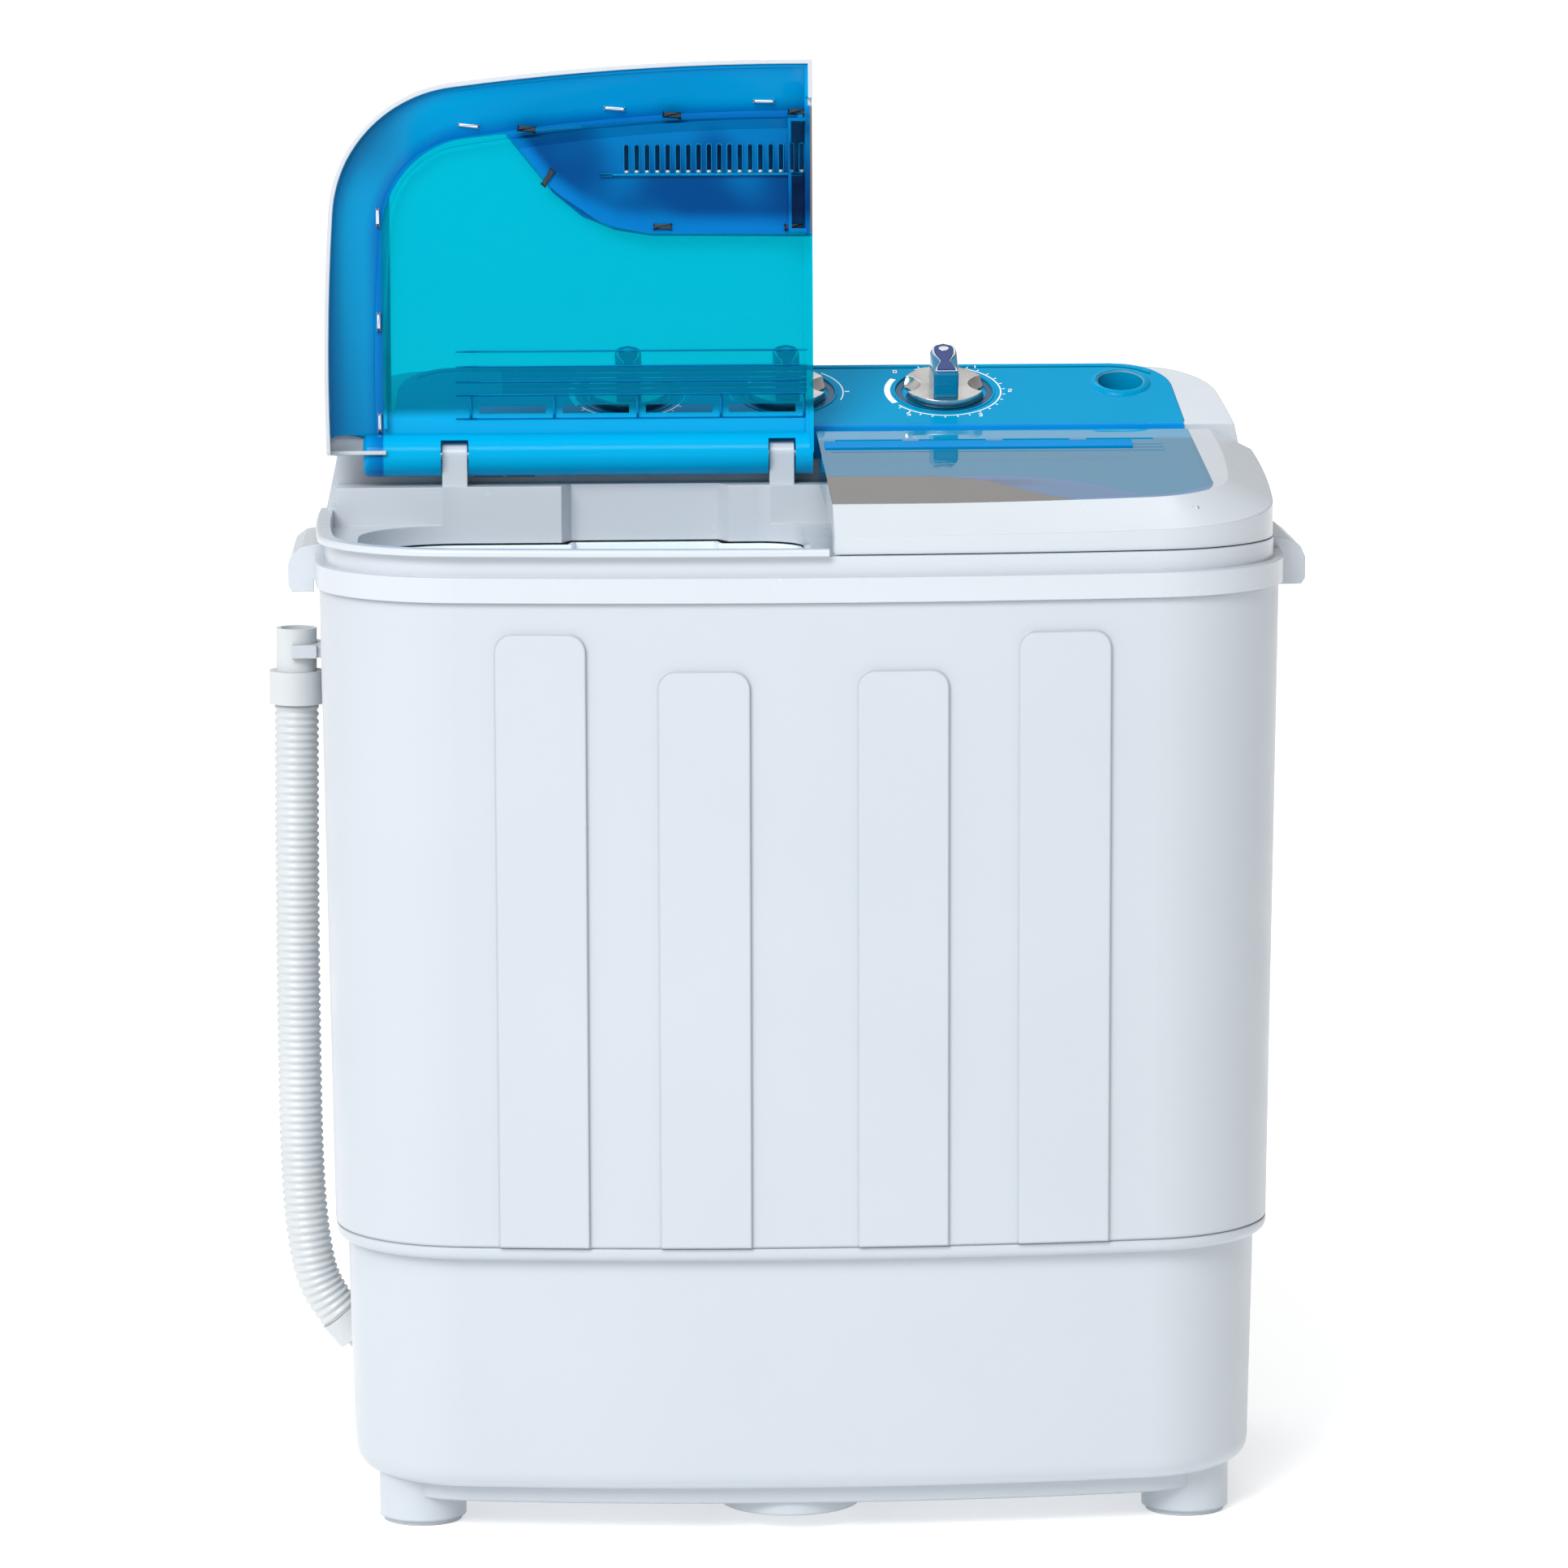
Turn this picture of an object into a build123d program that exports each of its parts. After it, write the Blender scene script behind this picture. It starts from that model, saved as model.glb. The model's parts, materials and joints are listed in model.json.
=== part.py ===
from build123d import *
import math
import os

os.makedirs("parts", exist_ok=True)

# ---------------------------------------------------------------- driving sizes (mm)
A, B = 284.0, 184.0            # half width and half depth at the flange
Z_SKIRT, Z_STEP, Z_BODY_TOP = 28.0, 167.0, 550.6
Z_FLANGE, Z_WALL, Z_BEAD = 565.0, 576.6, 581.0
Z_LEDGE, Z_REAR = 571.0, 594.0
HY, HZ = 56.0, 612.0           # lid hinge axis
R_BARREL = 12.5
SEAM_L, SEAM_R = 13.5, 15.5    # inner side of the wash lid and of the spin lid
OPEN = 98.0                    # lid travel, degrees
DECK_Y, DECK_Z, SLOPE = 72.0, 626.0, 20.0
PANEL_HALF = 239.0
KNOB_X = (-96.0, 0.0, 96.0)
KNOB_UP = 49.0
INLET_X, INLET_UP, R_INLET = 204.4, 59.0, 14.0
WCX, WCY = -125.0, -55.0       # pulsator axis
SCX, SCY = 139.0, -54.0        # spin basket axis
WMX, WMY = 0.0, 50.0           # wash motor axis
POSTS_W = ((-208.8, -193.8), (-12.9, 1.9))
POSTS_S = ((27.4, 42.2), (206.0, 220.8))
HOSE_R, HOSE_Y = 13.5, 95.0
HOSE_TILT = 40.0               # outlet, degrees from upright
HD = (-math.sin(math.radians(HOSE_TILT)), 0, math.cos(math.radians(HOSE_TILT)))
EX = (-277.0, HOSE_Y, 79.5)     # where the hose leaves the outlet elbow

nodes = {}


def bx(x0, x1, y0, y1, z0, z1):
    return Pos((x0 + x1) / 2, (y0 + y1) / 2, (z0 + z1) / 2) * Box(x1 - x0, y1 - y0, z1 - z0)


def cyl(x, y, z0, z1, r):
    return Pos(x, y, (z0 + z1) / 2) * Cylinder(r, z1 - z0)


def tube(x, y, z0, z1, ro, ri):
    return cyl(x, y, z0, z1, ro) - cyl(x, y, z0 - 1, z1 + 1, ri)


def xcyl(x0, x1, y, z, r):
    return Pos((x0 + x1) / 2, y, z) * Rot(0, 90, 0) * Cylinder(r, x1 - x0)


def outline(i=0.0, yb=None):
    """Bowed rectangle of the body in plan, moved in by i."""
    a, yf = A - i, -B + i
    yr = (B - i) if yb is None else yb
    fl, fr = (-(a - 9), yf + 23), (a - 9, yf + 23)
    bl, br = (-(a - 9), yr - 9), (a - 9, yr - 9)
    e = [ThreePointArc(fl, (0, yf), fr), ThreePointArc(fr, (a, (yf + yr) / 2), br),
         ThreePointArc(br, (0, yr), bl), ThreePointArc(bl, (-a, (yf + yr) / 2), fl)]
    f = make_face(e)
    front = [v for v in f.vertices() if v.Y < 0]
    back = [v for v in f.vertices() if v.Y > 0]
    f = fillet(front, max(90 - i, 8))
    back = [v for v in f.vertices() if v.Y > 60 and abs(v.X) > a - 12]
    f = fillet(back, max(62 - i, 8))
    return f


def prism(i, z0, z1, j=None, yb=None):
    if j is None:
        return extrude(Pos(0, 0, z0) * outline(i, yb), amount=z1 - z0)
    return loft([Pos(0, 0, z0) * outline(i), Pos(0, 0, z1) * outline(j)], ruled=True)


def keep(shape, node):
    nodes[node] = shape


def rounded_prism(pts, radii, z0, z1):
    f = make_face(Polyline(*pts, close=True))
    for p, r in zip(pts, radii):
        if r:
            v = min(f.vertices(), key=lambda q: (q.X - p[0]) ** 2 + (q.Y - p[1]) ** 2)
            f = fillet([v], r)
    return Pos(0, 0, z0) * f, Pos(0, 0, z1) * f


def try_fillet(shape, edges, r):
    for k in (1.0, 0.6, 0.3):
        try:
            out = fillet(edges, r * k)
            if out.is_valid and out.volume > 0:
                return out
        except Exception:
            pass
    print("fillet left out", r)
    return shape


# ---------------------------------------------------------------- base skirt, feet, pads
sk_out = prism(17.5, Z_SKIRT, 190, 14.1)
low = [e for e in sk_out.edges() if e.center().Z < Z_SKIRT + 0.5]
sk_out = try_fillet(sk_out, low, 13)
sk_in = prism(20.5, Z_SKIRT + 3, 191, 17.1)
sk_in = try_fillet(sk_in, [e for e in sk_in.edges() if e.center().Z < Z_SKIRT + 3.5], 11)
skirt = sk_out - sk_in
skirt += prism(32, 18, 30) - prism(35, 17, 31)
FEET = [(sx * 225.0, sy * 101.0) for sx in (-1, 1) for sy in (-1, 1)]
for fx, fy in FEET:
    skirt += cyl(fx, fy, 3, 30, 25.5)
    skirt -= cyl(fx, fy, 2, 6, 23.1)
skirt += cyl(-9, -109, 10, 30, 41)
# outlet hole in the left side wall, inlet for the lead at the back
skirt -= Plane(origin=EX, z_dir=HD) * Pos(0, 0, -20) * Cylinder(9.2, 60)
skirt -= Pos(-150, 170, 96) * Rot(90, 0, 0) * Cylinder(6.2, 40)
# stands for both motors
skirt += tube(WMX, WMY, 30, 44, 40, 34)
for k in range(3):
    a = math.radians(90 + 120 * k)
    skirt += cyl(SCX + 42 * math.cos(a), SCY + 42 * math.sin(a), 30, 40, 9)
keep(skirt, "base_skirt")
pads = None
for fx, fy in FEET:
    p = cyl(fx, fy, 0, 6, 23)
    p -= cyl(fx, fy, -1, 1.2, 8)
    pads = p if pads is None else pads + p
keep(pads, "foot_pads")

# ---------------------------------------------------------------- cabinet shell
PANELS = ((-178.3, -126.5, 532.5), (-85.4, -33.1, 511.2), (28.5, 80.5, 511.2), (120.9, 173.8, 532.3))
cab = prism(7.5, Z_STEP, Z_BODY_TOP, 2.4)
cab = try_fillet(cab, [e for e in cab.edges() if e.center().Z < Z_STEP + 0.5], 5)
big = prism(5.3, Z_STEP + 8.5, Z_BODY_TOP, 0.2)
for x0, x1, zt in PANELS:
    f = make_face(Polyline((x0, Z_STEP + 8.5), (x1, Z_STEP + 8.5), (x1, zt), (x0, zt), close=True))
    f = fillet([v for v in f.vertices() if v.Y > zt - 1], 10)
    cutter = extrude(Plane.XZ.offset(0) * f, amount=200)
    cab += big & cutter
cab -= prism(10.3, Z_STEP + 3, Z_BODY_TOP + 1, 5.2)
cab -= prism(14.2, Z_STEP - 1, Z_STEP + 4)
cab -= prism(5, 174.7, 175.7) - prism(8.3, 174.7, 175.7)
cab -= bx(-155, 155, 150, 190, 205, 505)
for x in (-148, 0, 148):
    for z in (200, 510):
        cab -= Pos(x, 175, z) * Rot(90, 0, 0) * Cylinder(1.6, 30)
keep(cab, "cabinet_shell")

rc = prism(5.6, Z_STEP, Z_BODY_TOP, 0.5) - prism(7.4, Z_STEP - 1, Z_BODY_TOP + 1, 2.3)
rc &= bx(-165, 165, 100, 190, 193, 517)
for z in range(240, 480, 16):
    for x0 in (-120, 40):
        rc -= bx(x0, x0 + 80, 150, 190, z, z + 6)
scr = None
for x in (-148, 0, 148):
    for z in (200, 510):
        yo = 178.4 + (z - 200) / 310 * 4.0 - 3.4 * (abs(x) / 148) ** 2
        rc -= Pos(x, 175, z) * Rot(90, 0, 0) * Cylinder(1.6, 30)
        s = Pos(x, yo - 3.0, z) * Rot(90, 0, 0) * Cylinder(1.5, 9)
        s += Pos(x, yo + 0.9, z) * Rot(90, 0, 0) * Cylinder(3.4, 1.2)
        rc -= Pos(x, yo + 1.8, z) * Rot(90, 0, 0) * Cylinder(3.5, 3.1)
        scr = s if scr is None else scr + s
keep(rc, "rear_cover")
keep(scr, "rear_cover_screws")

# ---------------------------------------------------------------- top frame
P = Plane(origin=(0, DECK_Y, DECK_Z), x_dir=(1, 0, 0),
          z_dir=(0, -math.sin(math.radians(SLOPE)), math.cos(math.radians(SLOPE))))
NRM = (0, -math.sin(math.radians(SLOPE)), math.cos(math.radians(SLOPE)))


def onp(x, y, z=0.0):
    return P * Pos(x, y, z)


def half_above(d):
    return onp(0, 0, d + 150) * Box(900, 700, 300)


def deck_loft(i):
    return loft([Pos(0, 0, 577) * outline(3.5 + i), Pos(0, 0, 662) * outline(21 + i, yb=153.4 - i)], ruled=True)


deck = deck_loft(0) & bx(-300, 300, DECK_Y, 200, 577, 700)
deck -= half_above(0)
for ang, drop in ((5, 1.5), (-20, 2.6), (-45, 2.2)):
    t_ = math.radians(ang)
    deck -= Plane(origin=(0, 155.0 - drop * 0.6, 656.0 - drop), x_dir=(1, 0, 0),
                  z_dir=(0, -math.sin(t_), math.cos(t_))) * Pos(0, 0, 60) * Box(900, 400, 120)
frame = prism(0, Z_BODY_TOP, Z_FLANGE) + prism(5.5, Z_FLANGE, Z_WALL)
frame = frame + (prism(5.5, Z_WALL, 577.1) & bx(-300, 300, DECK_Y, 200, 570, 600)) + deck
bead = prism(1.0, 577, Z_BEAD)
bead = try_fillet(bead, [e for e in bead.edges() if e.center().Z > 580.5], 1.8)
bead = (bead + prism(5.5, 576, 577.5)) & bx(-300, 12.5, -200, HY + 1, 570, 600)
frame += bead
# rear ledge behind both mouths
frame += prism(11, 570, Z_REAR) & bx(-300, 300, 44, DECK_Y + 1, 570, Z_REAR)
frame += prism(8.6, 569, 585) & bx(-300, 300, 59, DECK_Y + 1, 569, 585)
# shallow well inside the rim, down to the ledge around the mouths
frame -= prism(9.5, Z_LEDGE, 600) & bx(-300, 300, -200, 44, Z_LEDGE, 600)
# wash mouth and spin mouth
WTOP = [(-258, -153), (6, -153), (6, 45), (-258, 45)]
f0, f1 = rounded_prism(WTOP, (74, 40, 26, 60), 540, 600)
mouth = extrude(f0, amount=62)
frame -= mouth
bump = make_face(Polyline((-140, 40), (-132, 57), (-44, 57), (-35, 40), close=True))
frame -= extrude(Pos(0, 0, 540) * bump, amount=62)
frame -= cyl(SCX, SCY, 540, 600, 88)
# hollow under the rear deck and behind the tubs
cav = (deck_loft(2.6) & bx(-300, 300, DECK_Y + 2.6, 200, 577, 700)) - half_above(-2.8)
frame -= cav
frame -= prism(9, 540, 578) & bx(-300, 300, DECK_Y + 2.6, 200, 540, 578)
frame -= bx(-262, 262, 61, DECK_Y + 5, 540, 590)
frame -= prism(9, 540, 560) & bx(-300, 300, -200, 62, 540, 560)
# hinge posts
for x0, x1 in POSTS_W + POSTS_S:
    p = bx(x0, x1, HY - 7.5, HY + 7.5, Z_REAR - 1, HZ) + xcyl(x0, x1, HY, HZ, 7.5)
    frame += p
    frame -= xcyl(x0 - 2, x1 + 2, HY, HZ, 3.06)
# panel opening in the deck
PANEL = [(-PANEL_HALF, 2.5), (PANEL_HALF, 2.5), (PANEL_HALF - 6, 87), (-PANEL_HALF + 6, 87)]
pf = make_face(Polyline(*PANEL, close=True))
pf = fillet([v for v in pf.vertices() if v.Y > 50], 34)
pf = fillet([v for v in pf.vertices() if v.Y < 10], 3)
frame -= extrude(onp(0, 0, -12) * offset(pf, 0.25), amount=40)
# side hand grips
for s in (-1, 1):
    g = make_face(Polyline((s * 276, 561.5), (s * 288, 560), (s * 291.5, 556), (s * 291.5, 545), (s * 293.5, 543),
                           (s * 296.5, 543), (s * 298.6, 546), (s * 298.6, 559), (s * 296, 565), (s * 290, 569.5),
                           (s * 276, 572), close=True))
    h = extrude(Plane.XZ * g, amount=48, both=True)
    h = try_fillet(h, [e for e in h.edges() if abs(e.center().X) > 289 and abs(e.center().Y) > 47], 1.2)
    e_ = make_face(Polyline((s * 276, 543), (s * 294, 543), (s * 298.6, 547.5), (s * 298.6, 559), (s * 296, 565),
                            (s * 290, 569.5), (s * 276, 572), close=True))
    for y_ in (-46.6, 46.6):
        h += Pos(0, y_, 0) * extrude(Plane.XZ * e_, amount=1.4, both=True)
    h -= prism(6.2, 500, 580)
    h -= prism(-0.4, 500, Z_BODY_TOP)
    frame += h
keep(frame, "top_frame")

# control panel: plate in the opening, with knob and inlet holes
panel = extrude(onp(0, 0, -3.0) * pf, amount=3.0)
for kx in KNOB_X:
    panel -= onp(kx, KNOB_UP, 0) * Cylinder(29.6, 2.4)
    panel -= onp(kx, KNOB_UP, 0) * Cylinder(5.0, 12)
panel -= onp(INLET_X, INLET_UP, 0) * Cylinder(16.3, 12)
keep(panel, "control_panel")

# ---------------------------------------------------------------- knobs
for kx, name in zip(KNOB_X, ("wash_timer", "drain_selector", "spin_timer")):
    d = onp(kx, KNOB_UP, 2.4) * Cylinder(25, 5.6)
    d = try_fillet(d, d.edges().group_by(Axis.Y)[-1] if False else [e for e in d.edges() if e.length > 100][-1:], 1.4)
    for s in (-1, 1):
        d -= onp(kx + s * 26, KNOB_UP, 11.2) * Sphere(13)
    d += onp(kx, KNOB_UP, -10) * Cylinder(3.0, 20.5)
    keep(d, name + "_disc")
    gf = make_face(Polyline((-7.5, -20), (7.5, -20), (8.2, 20), (-8.2, 20), close=True))
    gf = fillet([v for v in gf.vertices() if v.Y > 0], 7)
    gf = fillet([v for v in gf.vertices() if v.Y < 0], 1.5)
    g = extrude(onp(kx, KNOB_UP, 5.2) * gf, amount=17)
    keep(g, name + "_grip")
    cf = make_face(Polyline((-6.3, -18.8), (6.3, -18.8), (3.6, -3), (6.8, 12), (-6.8, 12), (-3.6, -3), close=True))
    c = extrude(onp(kx, KNOB_UP, 22.2) * cf, amount=1.2)
    keep(c, name + "_cap")

# timers and selector bracket under the panel
for kx, name in ((KNOB_X[0], "wash_timer_unit"), (KNOB_X[2], "spin_timer_unit")):
    t = onp(kx, KNOB_UP, -19) * Box(46, 46, 22)
    t += onp(kx, KNOB_UP, -34) * Cylinder(18, 9)
    t += onp(kx, KNOB_UP, -5.6) * Cylinder(8, 5)
    t -= onp(kx, KNOB_UP, -10) * Cylinder(3.05, 24)
    keep(t, name)
b = onp(0, KNOB_UP, -5.6) * Box(50, 34, 5)
b -= onp(0, KNOB_UP, -5) * Cylinder(3.05, 20)
keep(b, "selector_bracket")

# inlet: funnel below the panel, duct forward to the wash tub
fun = onp(INLET_X, INLET_UP, -9.4) * Cylinder(16.2, 21.6) - onp(INLET_X, INLET_UP, -9.4) * Cylinder(R_INLET, 23)
keep(fun, "inlet_funnel")
duct = bx(-70, 190, 78, 98, 574, 590) + bx(184, 228, 78, 152, 574, 608)
duct -= bx(-68, 192, 80, 96, 576, 588) + bx(186, 226, 80, 150, 576, 612)
duct -= bx(-71, -60, 80, 96, 576, 588)
keep(duct, "inlet_duct")

# ---------------------------------------------------------------- wash tub
def tub_solid(d, z0):
    w = d
    top = [(-258 + w, -153 + w), (6 - w, -153 + w), (6 - w, 45 - w), (-258 + w, 45 - w)]
    bot = [(-236 + w, -136 + w), (-14 - w, -136 + w), (-14 - w, 28 - w), (-236 + w, 28 - w)]
    faces = []
    for pts, z in ((bot, z0), (top, 559.9)):
        f = make_face(Polyline(*pts, close=True))
        for p, r in zip(pts, (74 - w, 40 - w, 26 - w, 60 - w)):
            v = min(f.vertices(), key=lambda q: (q.X - p[0]) ** 2 + (q.Y - p[1]) ** 2)
            f = fillet([v], r)
        faces.append(Pos(0, 0, z) * f)
    return loft(faces, ruled=True)


def bump_solid(d, z0):
    f = make_face(Polyline((-140 + d, 10), (-132 + d, 57 - d), (-44 - d, 57 - d), (-35 - d, 10), close=True))
    return extrude(Pos(0, 0, z0) * f, amount=559.9 - z0)


tub = (tub_solid(0, 212) + bump_solid(0, 212)) - (tub_solid(2.5, 215) + bump_solid(2.5, 215))
tub -= bx(-300, 300, -200, 200, 559.0, 565)
tub -= cyl(WCX, WCY, 200, 230, 9)
tub -= cyl(-60, 46, 200, 230, 7)
keep(tub, "wash_tub")
fc = bx(-128, -48, 45.6, 47.2, 250, 520)
for z in range(262, 510, 12):
    fc -= bx(-120, -92, 40, 50, z, z + 5) + bx(-84, -56, 40, 50, z, z + 5)
fc += bx(-128, -122, 47, 54.4, 250, 520) + bx(-54, -48, 47, 54.4, 250, 520)
keep(fc, "lint_filter_cover")

# ---------------------------------------------------------------- spin tub, basket
st = cyl(SCX, SCY, 215, 559.0, 94) - cyl(SCX, SCY, 217.5, 560, 91.5) - cyl(SCX, SCY, 210, 220, 24)
keep(st, "spin_outer_tub")
bel = tube(SCX, SCY, 205, 215, 30, 22) + tube(SCX, SCY, 215, 232, 24, 20) + tube(SCX, SCY, 228, 232, 24, 9.3)
keep(bel, "spin_seal_bellows")
bk = cyl(SCX, SCY, 238, 545, 80) - cyl(SCX, SCY, 240.5, 546, 78.4)
bk += tube(SCX, SCY, 541, 545, 83, 78)
bk += cyl(SCX, SCY, 240, 262, 18)
bk -= cyl(SCX, SCY, 230, 255, 6.0)
for j in range(5):
    for k in range(12):
        ang = 30 * k + (15 if j % 2 else 0)
        bk -= Pos(SCX, SCY, 280 + 55 * j) * Rot(0, 0, ang) * Pos(79, 0, 0) * Rot(0, 90, 0) * Cylinder(2.5, 8)
keep(bk, "spin_basket")
keep(cyl(SCX, SCY, 62, 255, 6.0), "spin_shaft")
keep(cyl(SCX, SCY, 168, 186, 40) - cyl(SCX, SCY, 160, 190, 6.0) - (cyl(SCX, SCY, 160, 182, 36) - cyl(SCX, SCY, 160, 182, 12)), "brake_drum")
sm = cyl(SCX, SCY, 52, 150, 52) - cyl(SCX, SCY, 50, 152, 6.06)
for k in range(3):
    a = math.radians(90 + 120 * k)
    sm += cyl(SCX + 42 * math.cos(a), SCY + 42 * math.sin(a), 50, 54, 8)
keep(sm, "spin_motor")
mm = None
for k in range(3):
    a = math.radians(90 + 120 * k)
    m = cyl(SCX + 42 * math.cos(a), SCY + 42 * math.sin(a), 40, 50, 8)
    mm = m if mm is None else mm + m
keep(mm, "spin_motor_mounts")
# brake lever: pivots on a stud beside the drum, pad toward the drum
bl = cyl(SCX + 62, SCY + 40, 172, 178, 7) - cyl(SCX + 62, SCY + 40, 170, 180, 3.06)
bl += bx(SCX + 58, SCX + 66, SCY - 24, SCY + 36, 172, 178) - cyl(SCX + 62, SCY + 40, 170, 180, 3.06)
bl += bx(SCX + 46, SCX + 60, SCY - 14, SCY + 8, 170, 180) - cyl(SCX, SCY, 160, 190, 48.5)
keep(bl, "brake_lever")
bs = cyl(SCX + 62, SCY + 40, 150, 182, 3.0) + bx(SCX + 30, SCX + 70, SCY + 30, SCY + 50, 150.4, 153)
bs -= cyl(SCX, SCY, 149, 160, 52.3)
bs += bx(SCX + 44, SCX + 70, SCY + 40, SCY + 50, 150.4, 153)
bs += cyl(SCX + 62, SCY + 46, 31, 152, 3.0)
keep(bs, "brake_bracket")

# ---------------------------------------------------------------- wash drive
pul = cyl(WCX, WCY, 219, 224, 76)
pul = pul + cyl(WCX, WCY, 223, 234, 22)
for k in range(6):
    pul += Pos(WCX, WCY, 227) * Rot(0, 0, 60 * k) * Pos(45, 0, 0) * Box(56, 8, 8)
pul = pul - cyl(WCX, WCY, 210, 229, 5.0) - cyl(WCX, WCY, 231, 240, 6.0) - cyl(WCX, WCY, 225, 235, 2.0)
keep(pul, "pulsator")
keep(cyl(WCX, WCY, 231, 233, 5.5) + cyl(WCX, WCY, 227, 232, 1.9), "pulsator_screw")
keep(cyl(WCX, WCY, 138, 229, 5.0) - cyl(WCX, WCY, 226, 230, 1.9), "pulsator_shaft")
keep(tube(WCX, WCY, 165, 212, 18, 5.06) + tube(WCX, WCY, 206, 212, 34, 5.06) + tube(WCX, WCY, 211, 217, 8.8, 5.06), "bearing_housing")


def pulley(x, y, r, bore, z0=138, z1=154):
    p = cyl(x, y, z0, z1, r + 3) - (cyl(x, y, z0 + 3, z1 - 3, r + 4) - cyl(x, y, z0 + 3, z1 - 3, r))
    if bore:
        p -= cyl(x, y, z0 - 1, z1 + 1, bore)
    return p


keep(pulley(WCX, WCY, 55, 5.0), "pulsator_pulley")
keep(pulley(WMX, WMY, 15, 0) + cyl(WMX, WMY, 60, 154, 4.0), "motor_pulley")
keep(cyl(WMX, WMY, 44, 128, 48) - cyl(WMX, WMY, 50, 130, 4.06), "wash_motor")


def belt_face(rw, rm):
    dx, dy = WMX - WCX, WMY - WCY
    d = math.hypot(dx, dy)
    th = math.atan2(dy, dx)
    b0 = math.acos((rw - rm) / d)
    p = []
    for s in (1, -1):
        a = th + s * b0
        p.append(((WCX + rw * math.cos(a), WCY + rw * math.sin(a)), (WMX + rm * math.cos(a), WMY + rm * math.sin(a))))
    far_w = (WCX - rw * math.cos(th), WCY - rw * math.sin(th))
    far_m = (WMX + rm * math.cos(th), WMY + rm * math.sin(th))
    e = [Line(p[0][0], p[0][1]), ThreePointArc(p[0][1], far_m, p[1][1]), Line(p[1][1], p[1][0]),
         ThreePointArc(p[1][0], far_w, p[0][0])]
    return make_face(e)


belt = extrude(Pos(0, 0, 142) * belt_face(59.3, 19.3), amount=8) - extrude(Pos(0, 0, 141) * belt_face(55.3, 15.3), amount=10)
keep(belt, "drive_belt")
cap = None
for x in (62, 100):
    c = cyl(x, 130, 31, 92, 16)
    cap = c if cap is None else cap + c
keep(cap, "motor_capacitors")

# ---------------------------------------------------------------- drain valve and pipes
vb = tube(0, 112, 168, 240, 22, 18) + cyl(0, 112, 166, 170, 22) - cyl(0, 112, 160, 175, 8)
vb += tube(0, 112, 240, 243, 22, 3.3)
vb += bx(-62, -20, 104, 120, 180, 196) - cyl(0, 112, 160, 250, 18)
vb -= Pos(-40, 112, 188) * Rot(0, 90, 0) * Cylinder(5, 60)
keep(vb, "drain_valve_body")
keep(cyl(0, 112, 170.2, 178, 14) + cyl(0, 112, 178, 602, 2.5), "drain_valve_plug")
keep(tube(0, 112, 178, 240, 9, 6), "drain_valve_spring")
dp = cyl(0, 112, 120, 166, 9) + Pos(0, 112, 120) * Sphere(9)
v = (-236 - 0, 95 - 112, 84 - 120)
L = math.sqrt(sum(c * c for c in v))
dp += Plane(origin=(0, 112, 120), z_dir=v) * Pos(0, 0, L / 2) * Cylinder(9, L)
dp2 = bx(-74, -62, 104, 120, 180, 196) + cyl(-68, 112, 196, 204, 6)
keep(dp + dp2, "internal_drain_pipes")
hd = HD
el = Plane(origin=EX, z_dir=hd) * Pos(0, 0, -16) * Cylinder(9, 32)
el2 = Pos(EX[0] - hd[0] * 32, HOSE_Y, EX[2] - hd[2] * 32) * Sphere(9)
tgt = (-236.0, 95.0, 84.0)
el += Plane(origin=EX, z_dir=hd) * Pos(0, 0, -8.2) * (Cylinder(14, 16) - Cylinder(8.9, 18)) - prism(17.45, Z_SKIRT, 190, 14.05)
keep((el + el2) - (dp + dp2), "drain_elbow")

# hose: outlet, up the left side, to its connector
HOSE = [(EX[0], HOSE_Y, EX[2]), (-289.2, HOSE_Y, 94.04), (-296.2, HOSE_Y, 126), (-299.6, HOSE_Y, 174),
        (-300.2, HOSE_Y, 262), (-300.0, HOSE_Y, 360), (-298.9, HOSE_Y, 458)]


def route_radii(pts):
    out = []
    for a, b_, c in zip(pts, pts[1:], pts[2:]):
        u, w = Vector(*b_) - Vector(*a), Vector(*c) - Vector(*b_)
        t = math.radians(u.get_angle(w))
        out.append(0.45 * min(u.length, w.length) / math.tan(t / 2))
    return out


radii = route_radii(HOSE)
print("hose radii", [round(r, 1) for r in radii], "in diameters", [round(r / 27, 1) for r in radii])
hp = FilletPolyline(*HOSE, radius=radii)
sec = Plane(origin=HOSE[0], z_dir=hp % 0) * Circle(HOSE_R)
hose = sweep(sec, path=hp)
print("hose length", round(hp.length, 1), "volume", round(hose.volume), "section x length", round(math.pi * HOSE_R ** 2 * hp.length))
keep(hose, "drain_hose")
top_dir = hp % 1


def along(s, r, l):
    return Plane(origin=HOSE[-1], z_dir=top_dir) * Pos(0, 0, s + l / 2) * Cylinder(r, l)


keep(along(0, 16.5, 20), "hose_collar")
keep(along(20, 12.3, 26) - along(24, 9.5, 30), "hose_end_connector")
clip = bx(-290, -277.6, 82, 108, 487, 495) - prism(2.9, 480, 500)
clip += bx(-303, -286, 79, 111, 487, 495)
clip -= cyl(-298.4, HOSE_Y, 480, 500, 12.8)
clip -= bx(-320, -301, 70, 120, 480, 500)
clip += bx(-280.4, -277.6, 84, 106, 482, 500) - prism(2.9, 480, 505)
keep(clip, "hose_clip")
keep(Pos(-150, 171, 96) * Rot(90, 0, 0) * Cylinder(9, 5) + Pos(-150, 166, 96) * Rot(90, 0, 0) * Cylinder(6.1, 14), "cable_gland")
keep(bx(52, 84, 76, 92, 596, 612) + bx(64, 68, 72.2 + 2.8, 78, 602, 606), "lid_switch")

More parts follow.
